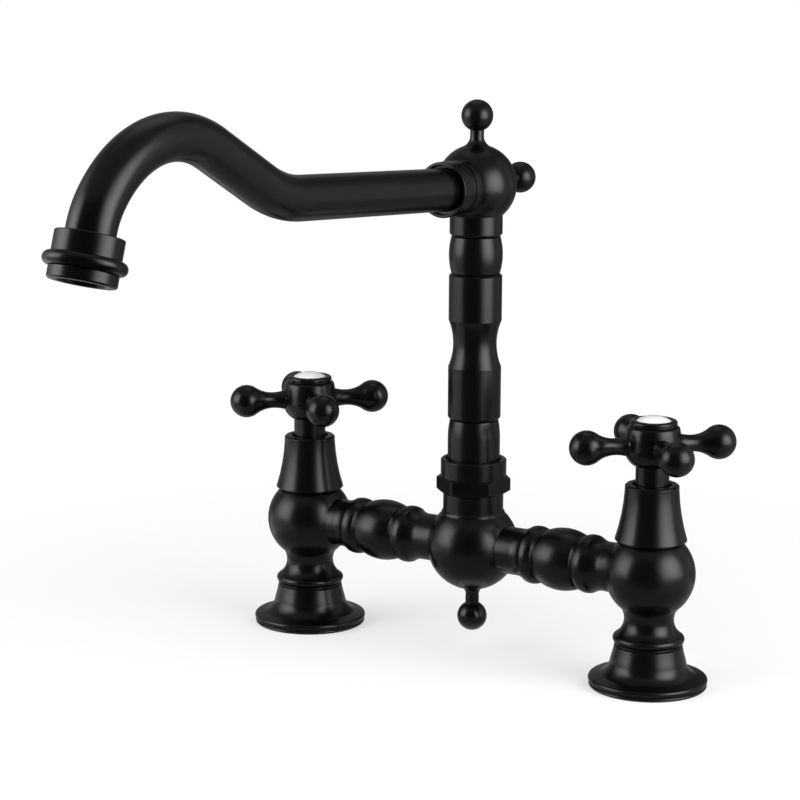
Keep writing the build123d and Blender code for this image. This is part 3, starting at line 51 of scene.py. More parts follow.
# Sizes that meet from one piece to the next, in millimetres. A lone one is a radius.
BONNET_SEAT = 15.5  # height above the bridge axis
THREAD_TOP = 7.0  # height of the valve body's thread above the seat
SHANK = 12.5  # of the valve body, in the flange
CARTRIDGE_BORE = 9.9
HUB_TOP = 9.3  # height above the arms' plane
WATERWAY, SPIGOT, SOCKET, SPIGOT_LENGTH = 8.0, 9.6, 9.65, 9.0  # of the column's pieces
ARM_WATERWAY, ARM_SOCKET, ARM_SOCKET_DEPTH = 6.5, 9.3, 6.75
TAIL, TAIL_GROOVE = 10.85, 9.25  # of the column's foot, where it turns in the tee
TAIL_BORE, BEARING = 10.92, 11.67  # of the tee, round that tail
CLIP_GROOVE, CLIP_LOW, CLIP_HIGH = 12.0, 39.85, 41.55  # the last two above the bridge axis
NUT_BORE, NUT_LIP = 14.6, 13.55
STUD, STUD_HOLE, STUD_LENGTH = 3.0, 3.05, 6.0  # of the finials
FINIAL_FOOT, FINIAL_NECK = 6.6, 3.45
SPOUT_START, COLLAR_STRAIGHT = 10.0, 29.5  # distances in front of the head's centre
RING_LOW, RING_HIGH = 21.2, 23.2  # the thin ring's two faces, also in front of it
SPOUT_STOP, SPOUT_SEAL = 10.5, 12.25
OUTLET_THREAD, OUTLET_END = 12.6, 14.6  # the second along the outlet's axis
FIT = 0.05  # play between a hole and what stands in it

# The spout's bends: radii in millimetres, and the heading at the end of the crook in degrees
RISE_BEND, CLIMB_BEND, MOUTH_BEND, CROOK_END = 50.0, 71.8, 36.4, -53.2
MOUTH_STRAIGHT, OUTLET_OVERLAP = 1.5, 6.8  # the tube's end, before and inside the outlet
BEND_STEP, STRAIGHT_STEP = 1.5, 6.0  # degrees and millimetres from one station to the next

SHARP = np.radians(12.0)  # a corner that turns by more than this is rounded
NUT_FACETS, NUT_EDGE_POWER = 360, 90
ROUND_STEPS = 96  # round an arm, a finial and the floor
DRIFT_SCALE, TINT_SCALE = 60.0, 162.0  # of the slow change of gloss and of tone
WHITE, BOUNCE_GREY = (1.0, 1.0, 1.0, 1.0), (0.8, 0.8, 0.8, 1.0)
FILL_LIGHT = 0.36  # strength of the white surroundings for scattered light
SHADE_RADIUS, PLAIN_RADIUS = 0.14, 0.45  # the floor's shade fades from one to the other
SENSOR_WIDTH = 36.0
LIGHT_AIM = 0.36  # height that the lights face
REFLECTION_SHEET_STEPS = 48

bl_info = {
    "name": "Bridge Kitchen Faucet Looks",
    "version": (1, 0, 0),
    "blender": (4, 5, 0),
    "location": "3D View > Sidebar > Faucet",
    "description": "Builds the coated pieces, the inner fittings' finishes and the studio of a bridge faucet",
    "category": "Object",
}


# ---- properties -----------------------------------------------------------------------------
def size(name, description, millimetres):
    """A length property whose default is written in millimetres."""
    return FloatProperty(
        name=name,
        description=description,
        default=millimetres * MM,
        min=0.0,
        precision=5,
        subtype="DISTANCE",
        unit="LENGTH",
    )


def turn(name, description, degrees_default):
    """An angle property whose default is written in degrees."""
    default = float(np.radians(degrees_default))
    return FloatProperty(name=name, description=description, default=default,
                         subtype="ANGLE", unit="ROTATION")


def share(name, description, default, high=1.0):
    """A plain number from 0 to high."""
    limits = {"min": 0.0, "max": high, "subtype": "FACTOR"}
    return FloatProperty(name=name, description=description, default=default, **limits)


def colour(name, description, default):
    """A linear colour."""
    return FloatVectorProperty(
        name=name, description=description, default=default, min=0.0, max=1.0, size=3, subtype="COLOR"
    )


class FaucetLayout(bpy.types.PropertyGroup):
    post_spacing: size("Post spacing", "Distance between the centres of the two valve posts", 203.2)
    bridge_height: size("Bridge height", "Height of the bridge axis above the worktop", 56.5)
    corner: size("Corner rounding", "Radius of the softened edges of turned pieces", 0.42)
    around: IntProperty(
        name="Facets round",
        description="Number of steps round each turned piece",
        default=128,
        min=24,
        max=256,
    )


class FaucetPosts(bpy.types.PropertyGroup):
    flange_radius: size("Flange radius", "Widest radius of the flange on the worktop", 29.3)
    flange_height: size("Flange height", "Height of the flange's neck", 20.8)
    flange_neck: size("Flange neck radius", "Radius at the top of the flange", 16.8)
    ball: size("Ball radius", "Radius of the valve body's ball", 22.15)
    bead: size("Bead radius", "Radius of the bead above the flange", 17.6)
    waist: size("Waist radius", "Smallest radius under the ball", 12.3)
    bonnet_height: size("Bonnet height", "Height of the tapered bonnet", 29.2)
    bonnet_radius: size("Bonnet radius", "Widest radius of the bonnet", 17.65)
    bonnet_middle: size("Bonnet middle radius", "Radius half way up the bonnet", 14.75)
    bonnet_top: size("Bonnet top radius", "Radius at the top of the bonnet", 13.2)


class FaucetHandles(bpy.types.PropertyGroup):
    rise: size("Cross height", "Height of the four arms above the bridge axis", 64.0)
    turned: turn("Closed position", "Turn of the cross from the bridge axis when closed", 47.0)
    hub: size("Hub radius", "Widest radius of the hub", 13.8)
    sleeve: size("Sleeve radius", "Radius of the sleeve between hub and bonnet", 8.2)
    ball: size("Arm ball radius", "Radius of the ball at the end of each arm", 8.5)
    reach: size("Arm reach", "Distance of each arm's ball from the stem", 33.6)
    neck: size("Arm neck radius", "Smallest radius of an arm", 4.1)
    blend: size("Arm blend radius", "Radius of the hollow between neck and ball", 16.0)
    bezel: size("Bezel radius", "Radius of the ring round the button", 11.5)
    button: size("Button radius", "Radius of the porcelain button", 8.55)
    dome: size("Button dome", "Rise of the button's crown above its edge", 2.6)


class FaucetBridge(bpy.types.PropertyGroup):
    bead_centre: size("Bead centre", "Distance of each arm's bead from the middle", 53.4)
    bead: size("Bead radius", "Radius at the middle of the long bead", 15.7)
    bead_edge: size("Bead edge radius", "Radius at the ends of the long bead", 13.6)
    groove: size("Groove radius", "Radius of the grooves beside the bead", 12.7)
    ring: size("Ring radius", "Radius of the two rings", 14.6)
    sleeve: size("Sleeve radius", "Radius of the end at the mixing tee", 11.9)
    collar: size("Collar radius", "Radius of the end at the valve body", 12.3)
    tee: size("Tee ball radius", "Radius of the mixing tee's ball", 23.2)
    tee_neck: size("Tee neck radius", "Radius of the short neck under the union nut", 15.25)
    finial: size("Lower finial radius", "Radius of the knob under the tee", 7.55)


class FaucetColumn(bpy.types.PropertyGroup):
    nut_flats: size("Nut across flats", "Width of the union nut's hexagon", 33.0)
    nut_turn: turn("Nut position", "Turn of the hexagon from the bridge axis", 26.3)
    nut_collar: size("Nut collar radius", "Radius of the round part of the nut", 16.6)
    foot: size("Foot radius", "Radius of the column's foot", 13.2)
    column: size("Column radius", "Radius of the turned column", 13.3)
    length: size("Column length", "Length of the turned column", 73.7)
    waist: size("Column waist radius", "Smallest radius of the column", 10.9)
    groove: size("Groove radius", "Radius of the grooves between the turned pieces", 12.2)
    ferrule: size("Ferrule radius", "Radius of the ferrule under the head", 13.45)


class FaucetHead(bpy.types.PropertyGroup):
    ball: size("Head ball radius", "Radius of the head", 20.0)
    height: size("Head height", "Height of the head's centre above the worktop", 239.8)
    boss: size("Boss radius", "Radius of the boss in front of the head", 13.4)
    collar: size("Collar radius", "Radius of the collar where the spout starts", 13.65)
    finial: size("Finial radius", "Radius of the knobs on top and behind", 7.9)
    top_reach: size("Top finial reach", "Distance of the upper knob from the head's centre", 34.0)
    rear_reach: size("Rear finial reach", "Distance of the rear knob from the head's centre", 42.0)


class FaucetSpout(bpy.types.PropertyGroup):
    tube: size("Tube radius", "Outer radius of the spout", 10.45)
    wall: size("Tube wall", "Wall thickness of the spout", 1.2)
    rise_length: size("Rise length", "Length of the long gentle rise", 117.0)
    rise: turn("Rise angle", "Slope of the long gentle rise", 3.4)
    climb_length: size("Climb length", "Length of the steeper climb", 39.5)
    climb: turn("Climb angle", "Slope of the steeper climb", 28.2)
    crook: size("Crook radius", "Bend radius of the swan neck", 57.2)
    outlet: turn("Outlet angle", "Fall of the outlet below level", 72.5)
    collar: size("Outlet collar radius", "Radius of the outlet's collar", 14.5)
    bead: size("Outlet bead radius", "Radius of the outlet's bead", 17.5)


class FaucetFinish(bpy.types.PropertyGroup):
    coating: colour("Coating", "Colour of the black coating", (0.0014, 0.0014, 0.0015))
    coating_gloss: share("Coating roughness", "Roughness of the black coating", 0.26)
    grain: size("Coating grain", "Width of a grain of the coating", 0.22)
    grain_depth: share("Grain depth", "Strength of the coating's grain", 0.10)
    porcelain: colour("Porcelain", "Colour of the glazed buttons", (0.88, 0.877, 0.86))
    brass: colour("Brass", "Colour of the machined brass", (0.78, 0.60, 0.33))
    steel: colour("Steel", "Colour of the spring steel and the screws", (0.60, 0.60, 0.60))
    rubber: colour("Rubber", "Colour of the seals", (0.020, 0.020, 0.021))


class FaucetStudio(bpy.types.PropertyGroup):
    right_light: share("Right light", "Middle radiance of the soft light on the right", 7.8, 20.0)
    left_light: share("Left light", "Middle radiance of the soft light on the left", 5.5, 20.0)
    top_light: share("Top light", "Middle radiance of the soft light overhead", 0.8, 20.0)
    floor: share("Floor lift", "Share of the floor's white that needs no light", 0.5)
    azimuth: turn("Camera azimuth", "Direction of the camera round the faucet", 33.44)
    elevation: turn("Camera elevation", "Height angle of the camera", 11.11)
    roll: turn("Camera roll", "Roll of the camera", 0.28)
    distance: size("Camera distance", "Distance of the camera from the middle of the faucet", 1264.1)
    aim_height: size("Aim height",
                     "Height of the point on the column's axis that the camera is set from", 150.0)
    aim_left: size("Aim left", "How far left of that point the camera looks", 37.44)
    aim_low: size("Aim low", "How far below that point the camera looks", 18.53)
    lens: share("Lens", "Focal length of the lens in picture widths", 3.15125, 10.0)


GROUPS = {
    "faucet_layout": FaucetLayout,
    "faucet_posts": FaucetPosts,
    "faucet_handles": FaucetHandles,
    "faucet_bridge": FaucetBridge,
    "faucet_column": FaucetColumn,
    "faucet_head": FaucetHead,
    "faucet_spout": FaucetSpout,
    "faucet_finish": FaucetFinish,
    "faucet_studio": FaucetStudio,
}


# ---- outlines: rows of (radius, height) -------------------------------------------------------
def arc_rows(start, middle, end, step=4.0):
    """Rows on the circle through three points, from start to end, about every step degrees.

    The centre is where the perpendicular bisectors of the two chords meet. The angle grows
    evenly from the start's direction, through the middle's, to the end's.
    """
    a, b, c = (complex(*p) for p in (start, middle, end))
    w = (c - a) / (b - a)
    centre = a + (b - a) * (w - abs(w) ** 2) / (2j * w.imag)
    radius = abs(a - centre)
    first = np.angle(a - centre)
    swing = np.angle((c - centre) / (a - centre))
    half = np.angle((b - centre) / (a - centre))
    if half * swing < 0 or abs(half) > abs(swing):
        swing -= np.sign(swing) * 2 * np.pi
    count = max(3, int(np.ceil(np.degrees(abs(swing)) / step)))
    points = centre + radius * np.exp(1j * (first + swing * np.linspace(0.0, 1.0, count + 1)))
    return np.column_stack([points.real, points.imag])


def sagged_rows(start, end, sag, step=4.0):
    """Rows on the circle from start to end whose middle lies sag to the left of the chord."""
    a, b = complex(*start), complex(*end)
    middle = (a + b) / 2 + 1j * sag * (b - a) / abs(b - a)
    return arc_rows(start, (middle.real, middle.imag), end, step)


def outline(*marks):
    """Rows of an outline from its marks, in millimetres.

    (r, z) is a straight edge to that point. (r, z, sag) is a circular edge whose middle lies
    sag to the left of its chord. (r, z, middle r, middle z) is a circular edge through the
    middle point.
    """
    rows = [np.array([marks[0][:2]], float)]
    for mark in marks[1:]:
        last, end = tuple(rows[-1][-1]), mark[:2]
        if len(mark) == 2:
            rows.append(np.array([end], float))
        elif len(mark) == 3:
            rows.append(sagged_rows(last, end, mark[2])[1:])
        else:
            rows.append(arc_rows(last, mark[2:], end)[1:])
    return np.vstack(rows)


def softened(rows, radius, closed):
    """The outline with its corners rounded.

    A corner that turns by more than 12 degrees becomes a parabola whose ends lie a setback
    before and after it, radius times the tangent of half the turn, but never more than 0.4 of
    an edge. A row one setback further out on each side keeps the shading of the flat edges flat.
    """
    before, after = np.roll(rows, 1, axis=0), np.roll(rows, -1, axis=0)
    into, out = rows - before, after - rows
    if not closed:
        into[0], out[-1] = out[0], into[-1]
    lengths_in, lengths_out = np.hypot(*into.T), np.hypot(*out.T)
    unit_in, unit_out = into / lengths_in[:, None], out / lengths_out[:, None]
    cross = unit_in[:, 0] * unit_out[:, 1] - unit_in[:, 1] * unit_out[:, 0]
    angle = np.abs(np.arctan2(cross, (unit_in * unit_out).sum(1)))
    sharp = angle > SHARP
    setback = np.minimum(radius * np.tan(angle / 2), 0.4 * np.minimum(lengths_in, lengths_out))
    setback = np.where(sharp, setback, 0.0)[:, None]
    far = np.minimum(2 * setback, 0.45 * np.minimum(lengths_in, lengths_out)[:, None])
    t = np.linspace(0.0, 1.0, 6)[None, :, None]
    bend = (
        (1 - t) ** 2 * (rows - setback * unit_in)[:, None]
        + 2 * t * (1 - t) * rows[:, None]
        + t**2 * (rows + setback * unit_out)[:, None]
    )
    run = np.concatenate([(rows - far * unit_in)[:, None], bend, (rows + far * unit_out)[:, None]], axis=1)
    run = run.reshape(-1, 2)
    keep = np.hypot(*(run - np.roll(run, 1, axis=0)).T) > 1e-5
    if not closed:
        keep[0] = True
    return run[keep]


# ---- surfaces -------------------------------------------------------------------------------
def grid_faces(rows, columns, rows_closed):
    """Corner numbers of the four-sided faces of a grid that is closed round its columns."""
    i = np.arange(rows if rows_closed else rows - 1)[:, None]
    j = np.arange(columns)[None, :]
    i_next, j_next = (i + 1) % rows, (j + 1) % columns
    corners = [i * columns + j, i * columns + j_next, i_next * columns + j_next, i_next * columns + j]
    return np.stack([np.broadcast_to(c, (len(i), columns)) for c in corners], axis=-1).reshape(-1, 4)


def revolved(rows, around, closed, shape=None):
    """Points and faces of an outline turned about Z.

    The point at row i and angle a is (r cos a, r sin a, z), where r may also depend on the
    angle by shape(r, z, a). A row on the axis is one point, and its faces are triangles.
    """
    angle = np.arange(around) * 2 * np.pi / around
    radius = np.repeat(rows[:, :1], around, axis=1)
    height = np.repeat(rows[:, 1:], around, axis=1)
    if shape is not None:
        radius = shape(radius, height, angle[None, :])
    points = np.stack([radius * np.cos(angle), radius * np.sin(angle), height], axis=-1).reshape(-1, 3)
    faces = grid_faces(len(rows), around, closed)
    number = np.arange(len(points)).reshape(len(rows), around)
    pole = rows[:, 0] < 1e-6
    number[pole] = number[pole][:, :1]
    return points, number.ravel()[faces]


def basis(direction):
    """Three unit axes as columns, right-handed, the third along a direction."""
    z = np.array(direction, float) / np.linalg.norm(direction)
    guide = np.array((1.0, 0.0, 0.0)) if abs(z[0]) < 0.9 else np.array((0.0, 1.0, 0.0))
    x = guide - z * (guide @ z)
    x /= np.linalg.norm(x)
    return np.column_stack([x, np.cross(z, x), z])


def placed(surface, origin=(0.0, 0.0, 0.0), direction=UP):
    """A surface drawn on Z, laid along a direction from an origin."""
    points, faces = surface
    return points @ basis(direction).T + np.array(origin, float), faces


def joined(*surfaces):
    """Several surfaces as one."""
    starts = np.cumsum([0] + [len(points) for points, _ in surfaces[:-1]])
    return (
        np.vstack([points for points, _ in surfaces]),
        np.vstack([faces + start for (_, faces), start in zip(surfaces, starts)]),
    )


def make_piece(name, surface, body, slot, *nodes):
    """A smooth mesh object from millimetre points, riding on its body and standing for CAD nodes."""
    points, faces = surface
    used, number = np.unique(faces, return_inverse=True)
    faces = number.reshape(-1, 4)
    points = points[used] * MM
    first_pair, second_pair = faces[:, 0] == faces[:, 1], faces[:, 2] == faces[:, 3]
    low_pole, high_pole = first_pair & ~second_pair, second_pair & ~first_pair
    triangles = np.vstack([faces[low_pole][:, [0, 2, 3]], faces[high_pole][:, :3]])
    faces = faces[~first_pair & ~second_pair]
    mesh = bpy.data.meshes.new(name)
    mesh.vertices.add(len(points))
    mesh.vertices.foreach_set("co", points.astype(np.float32).ravel())
    mesh.loops.add(faces.size + triangles.size)
    corners = np.concatenate([faces.ravel(), triangles.ravel()])
    mesh.loops.foreach_set("vertex_index", corners.astype(np.int32))
    mesh.polygons.add(len(faces) + len(triangles))
    starts = np.concatenate([4 * np.arange(len(faces)), faces.size + 3 * np.arange(len(triangles))])
    mesh.polygons.foreach_set("loop_start", starts.astype(np.int32))
    mesh.update(calc_edges=True)
    if mesh.validate():
        raise RuntimeError(f"{name}: its mesh has faulty faces")
    mesh.shade_smooth()
    piece = bpy.data.objects.new(name, mesh)
    bpy.context.scene.collection.objects.link(piece)
    mesh.materials.append(bpy.data.materials[slot])
    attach(piece, body)
    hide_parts(*nodes)


def coat(name, surface, body):
    """A coated piece that stands for the CAD node of the same name."""
    make_piece(f"{name}_coated", surface, body, "black_coating", name)


def turned_surface(layout, marks, closed=True, corner=1.0, around=None, shape=None):
    """A turned solid from marks or rows: its corners softened, then carried round Z."""
    rows = marks if isinstance(marks, np.ndarray) else outline(*marks)
    rows = softened(rows, corner * layout.corner / MM, closed)
    return revolved(rows, around or layout.around, closed, shape)


def ball_edge(radius, centre, cut, side):
    """Height at which a ball on Z has the radius cut, above (1) or below (-1) its centre."""
    return centre + side * float(np.sqrt(radius**2 - cut**2))


def millimetres(group):
    """A property group's lengths in millimetres and its angles in degrees, by name."""
    found = {}
    for key, value in type(group).bl_rna.properties.items():
        if value.type != "FLOAT" or value.is_array:
            continue
        scale = {"LENGTH": 1 / MM, "ROTATION": 180 / np.pi}.get(value.unit, 1.0)
        found[key] = round(getattr(group, key) * scale, 4)
    return found


def post_x(context, side):
    """X of a post's axis, in millimetres."""
    return SIDES[side] * context.scene.faucet_layout.post_spacing / MM / 2


def bridge_z(context):
    """Height of the bridge axis above the worktop, in millimetres."""
    return context.scene.faucet_layout.bridge_height / MM


def coat_posts(context, surfaces, on_handles=False):
    """Coated pieces on both posts, or on the handles that turn on them, by the part's name."""
    for side in SIDES:
        origin = (post_x(context, side), 0.0, 0.0)
        for part, surface in surfaces.items():
            coat(f"{side}_{part}", placed(surface, origin), f"{side}_handle" if on_handles else "bridge")


# ---- posts ----------------------------------------------------------------------------------
class FAUCET_OT_flanges(bpy.types.Operator):
    """Bell-shaped flanges with a thin lip, standing on the worktop"""

    bl_idname = "faucet.flanges"
    bl_label = "Flanges"
    bl_options = {"REGISTER", "UNDO"}

    def execute(self, context):
        s = millimetres(context.scene.faucet_posts)
        radius, neck, top = s["flange_radius"], s["flange_neck"], s["flange_height"]
        surface = turned_surface(context.scene.faucet_layout, [
            (12.55, 0.0), (18.95, 0.0), (18.95, 1.5), (26.55, 1.5), (26.55, 0.0),
            (radius - 1.0, 0.0), (radius - 0.8, 1.7, radius - 0.3, 0.85), (radius - 0.8, 2.1),
            (radius - 0.7, 4.9, radius, 3.3), (radius - 5.8, 6.0), (neck + 1.7, 13.5, 1.1),
            (neck, top - 0.5, 0.1), (neck - 0.5, top), (12.55, top),
        ])
        coat_posts(context, {"flange": surface})
        return {"FINISHED"}


class FAUCET_OT_valve_bodies(bpy.types.Operator):
    """Valve bodies: bead, waist and ball over the flanges"""

    bl_idname = "faucet.valve_bodies"
    bl_label = "Valve bodies"
    bl_options = {"REGISTER", "UNDO"}

    def execute(self, context):
        s = millimetres(context.scene.faucet_posts)
        ball, bead, waist = s["ball"], s["bead"], s["waist"]
        flange, land = s["flange_height"], s["flange_neck"] - 0.1
        axis = bridge_z(context)
        bead_bottom = flange + 1.3
        bead_top = bead_bottom + 4.4
        neck_top = ball_edge(ball, axis, 13.9, -1)
        top = axis + BONNET_SEAT
        top_radius = float(np.sqrt(ball**2 - BONNET_SEAT**2))
        surface = turned_surface(context.scene.faucet_layout, [
            (9.3, 0.0), (SHANK, 0.0), (SHANK, flange), (land - 0.9, flange), (land, flange + 0.3),
            (land, flange + 0.9), (land - 0.9, bead_bottom), (bead - 1.1, bead_bottom),
            (bead - 1.1, bead_top - 0.6, bead, bead_bottom + 1.7),
            (13.9, neck_top, waist, (bead_top + neck_top) / 2 - 0.2), (top_radius, top, ball, axis),
            (12.6, top), (12.6, top + THREAD_TOP), (10.45, top + THREAD_TOP), (10.45, top - 4.0),
            (CARTRIDGE_BORE, top - 4.0), (CARTRIDGE_BORE, axis - 14.5), (6.5, axis - 14.5),
            (6.5, 14.0), (9.3, 14.0),
        ])
        coat_posts(context, {"valve_body": surface})
        return {"FINISHED"}


class FAUCET_OT_bonnets(bpy.types.Operator):
    """Tapered bonnets on the valve bodies"""

    bl_idname = "faucet.bonnets"
    bl_label = "Bonnets"
    bl_options = {"REGISTER", "UNDO"}

    def execute(self, context):
        s = millimetres(context.scene.faucet_posts)
        seat = bridge_z(context) + BONNET_SEAT
        top, corner = seat + s["bonnet_height"], seat + 1.7
        rim = s["bonnet_top"]
        surface = turned_surface(context.scene.faucet_layout, [
            (12.65, seat), (15.4, seat), (s["bonnet_radius"], corner),
            (rim, top - 2.7, s["bonnet_middle"], corner + 11.6), (rim, top - 0.8), (rim - 0.8, top),
            (9.5, top), (9.5, top - 14.5), (13.1, top - 14.5), (13.1, seat + 6.8),
            (12.65, seat + 6.8),
        ])
        coat_posts(context, {"bonnet": surface})
        return {"FINISHED"}


# ---- handles --------------------------------------------------------------------------------
class FAUCET_OT_hubs(bpy.types.Operator):
    """Hubs of the cross handles, with the sleeves that dip into the bonnets"""

    bl_idname = "faucet.hubs"
    bl_label = "Hubs and sleeves"
    bl_options = {"REGISTER", "UNDO"}

    def execute(self, context):
        s = millimetres(context.scene.faucet_handles)
        layout = context.scene.faucet_layout
        plane = bridge_z(context) + s["rise"]
        foot, top, hub, sleeve = plane - 10.1, plane + HUB_TOP, s["hub"], s["sleeve"]
        hub_surface = turned_surface(layout, [
            (6.95, foot), (9.2, foot), (hub, foot + 9.6, hub - 1.1, foot + 3.7),
            (12.8, top - 0.9, -0.25), (11.9, top, -0.15), (9.55, top), (9.55, plane + 4.5),
            (4.4, plane + 4.5), (4.4, plane + 0.5), (2.3, plane + 0.5), (2.3, plane - 0.9),
            (4.35, plane - 0.9), (4.35, foot + 3.05), (6.95, foot + 3.05),
        ])
        sleeve_surface = turned_surface(layout, [
            (5.4, foot - 12.8), (sleeve, foot - 12.8), (sleeve, foot), (6.9, foot),
            (6.9, foot + 3.0), (5.4, foot + 3.0),
        ])
        coat_posts(context, {"handle_hub": hub_surface, "stem_sleeve": sleeve_surface}, on_handles=True)
        return {"FINISHED"}


class FAUCET_OT_crosses(bpy.types.Operator):
    """The four teardrop arms of each cross handle"""

    bl_idname = "faucet.crosses"
    bl_label = "Cross arms"
    bl_options = {"REGISTER", "UNDO"}

    def execute(self, context):
        s = millimetres(context.scene.faucet_handles)
        ball, reach, neck, blend = s["ball"], s["reach"], s["neck"], s["blend"]
        apart, rise = ball + blend, neck + blend
        run = float(np.sqrt(apart**2 - rise**2))
        start = (neck, reach - run)
        end = (ball / apart * rise, reach - ball / apart * run)
        chord = float(np.hypot(end[0] - start[0], end[1] - start[1]))
        sag = blend - float(np.sqrt(blend**2 - chord**2 / 4))
        arm = turned_surface(context.scene.faucet_layout, [
            (0.0, 9.85), (2.9, 9.85), (2.9, 12.7), (4.9, 12.7), (4.9, 14.0), (*start, 0.2),
            (*end, sag), (0.0, reach + ball, ball, reach),
        ], closed=False, around=ROUND_STEPS)
        plane = bridge_z(context) + s["rise"]
        for side in SIDES:
            origin = (post_x(context, side), 0.0, plane)
            angles = np.radians(s["turned"] + 90.0 * np.arange(4))
            arms = [placed(arm, origin, (np.cos(a), np.sin(a), 0.0)) for a in angles]
            coat(f"{side}_handle_arms", joined(*arms), f"{side}_handle")
        return {"FINISHED"}


class FAUCET_OT_buttons(bpy.types.Operator):
    """Bezels and plain porcelain buttons on the hubs"""

    bl_idname = "faucet.buttons"
    bl_label = "Bezels and buttons"
    bl_options = {"REGISTER", "UNDO"}

    def execute(self, context):
        s = millimetres(context.scene.faucet_handles)
        layout = context.scene.faucet_layout
        hub_top = bridge_z(context) + s["rise"] + HUB_TOP
        seat, top = hub_top - 4.75, hub_top + 3.1
        bezel, button, dome = s["bezel"], s["button"], s["dome"]
        edge, bore = top - 0.5, button + FIT
        bezel_surface = turned_surface(layout, [
            (7.4, seat), (9.5, seat), (9.5, hub_top), (bezel - 0.3, hub_top),
            (bezel, hub_top + 0.3), (bezel, top - 1.5), (bezel - 1.4, top, -0.5), (bore + 0.5, top),
            (bore, top - 0.5), (bore, seat + 1.4), (7.4, seat + 1.4),
        ])
        crown = (button**2 + dome**2) / (2 * dome)
        halfway = edge + dome - crown + float(np.sqrt(crown**2 - button**2 / 4))
        button_surface = turned_surface(layout, [
            (0.0, seat + 1.4), (button, seat + 1.4), (button, edge),
            (0.0, edge + dome, button / 2, halfway),
        ], closed=False, corner=1.6)
        for side in SIDES:
            origin = (post_x(context, side), 0.0, 0.0)
            knob, body = f"{side}_index_button", f"{side}_handle"
            coat(f"{side}_index_bezel", placed(bezel_surface, origin), body)
            make_piece(f"{knob}_glazed", placed(button_surface, origin), body, "white_porcelain", knob)
        return {"FINISHED"}


# ---- bridge ---------------------------------------------------------------------------------
class FAUCET_OT_bridge_arms(bpy.types.Operator):
    """Turned bridge arms: sleeve, flare, ring, bead, ring, flare and collar"""

    bl_idname = "faucet.bridge_arms"
    bl_label = "Bridge arms"
    bl_options = {"REGISTER", "UNDO"}

    def half(self, s, way, end_radius, end):
        """Rows from the bead's middle to one end, in the direction way (1 or -1)."""
        centre, bead, edge = s["bead_centre"], s["bead"], s["bead_edge"]
        groove, ring = s["groove"], s["ring"]

        def at(radius, offset):
            return radius, centre + way * offset

        return outline(
            at(bead, 0.0),
            (*at(edge, 9.8), *at(bead - (bead - edge) / 4, 4.9)),
            at(groove, 10.7),
            at(groove, 11.4),
            at(ring - 0.7, 12.3),
            (*at(ring - 0.35, 18.0), *at(ring, 14.865)),
            (*at(end_radius, 26.0), way * 0.75),
            (end_radius, end),
            (ARM_SOCKET, end),
            (ARM_SOCKET, end + way * ARM_SOCKET_DEPTH),
            (ARM_WATERWAY, end + way * ARM_SOCKET_DEPTH),
        )

    def execute(self, context):
        layout = context.scene.faucet_layout
        s = millimetres(context.scene.faucet_bridge)
        valve_ball = millimetres(context.scene.faucet_posts)["ball"]
        post = post_x(context, "cold")
        tee_end = ball_edge(s["tee"], 0.0, s["sleeve"], 1) - 1.1
        post_end = post - ball_edge(valve_ball, 0.0, s["collar"], 1) + 1.1
        inner, outer = self.half(s, -1, s["sleeve"], tee_end), self.half(s, 1, s["collar"], post_end)
        surface = turned_surface(layout, np.vstack([inner[:0:-1], outer]))
        for side, way in SIDES.items():
            at = placed(surface, (0.0, 0.0, bridge_z(context)), (way, 0.0, 0.0))
            coat(f"{side}_bridge_arm", at, "bridge")
        return {"FINISHED"}


def finial_surface(layout, foot_reach, foot_radius, ball_reach, ball):
    """A turned knob on Z: foot, hollow flare, short neck and ball."""
    return turned_surface(layout, [
        (0.0, foot_reach - STUD_LENGTH), (STUD, foot_reach - STUD_LENGTH), (STUD, foot_reach),
        (foot_radius, foot_reach), (FINIAL_NECK, foot_reach + 4.6, 0.75),
        (FINIAL_NECK, ball_edge(ball, ball_reach, FINIAL_NECK, -1)),
        (0.0, ball_reach + ball, ball, ball_reach),
    ], closed=False, corner=0.7, around=ROUND_STEPS)


class FAUCET_OT_mixing_tee(bpy.types.Operator):
    """The mixing tee's ball and neck, with the small finial under it"""

    bl_idname = "faucet.mixing_tee"
    bl_label = "Mixing tee"
    bl_options = {"REGISTER", "UNDO"}

    def execute(self, context):
        layout = context.scene.faucet_layout
        s = millimetres(context.scene.faucet_bridge)
        axis, ball, neck, foot, fillet = bridge_z(context), s["tee"], s["tee_neck"], 5.4, 1.0
        foot_z = ball_edge(ball, axis, foot, -1)
        surface = turned_surface(layout, [
            (0.0, foot_z + STUD_LENGTH), (STUD_HOLE, foot_z + STUD_LENGTH), (STUD_HOLE, foot_z),
            (foot, foot_z), (neck + fillet, ball_edge(ball, axis, neck + fillet, 1), ball, axis),
            (neck, ball_edge(ball, axis, neck, 1) + fillet, -0.22 * fillet), (neck, axis + 27.2),
            (14.55, axis + 27.2), (14.55, axis + 35.5), (BEARING, axis + 35.5),
            (BEARING, axis + 27.5), (TAIL_BORE, axis + 27.5), (TAIL_BORE, axis + 15.5),
            (WATERWAY, axis + 15.5), (WATERWAY, axis), (0.0, axis),
        ], closed=False)
        coat("mixing_tee", surface, "bridge")
        knob = finial_surface(layout, axis - foot_z, foot, 37.5, s["finial"])
        coat("lower_finial", placed(knob, (0.0, 0.0, axis), DOWN), "bridge")
        return {"FINISHED"}


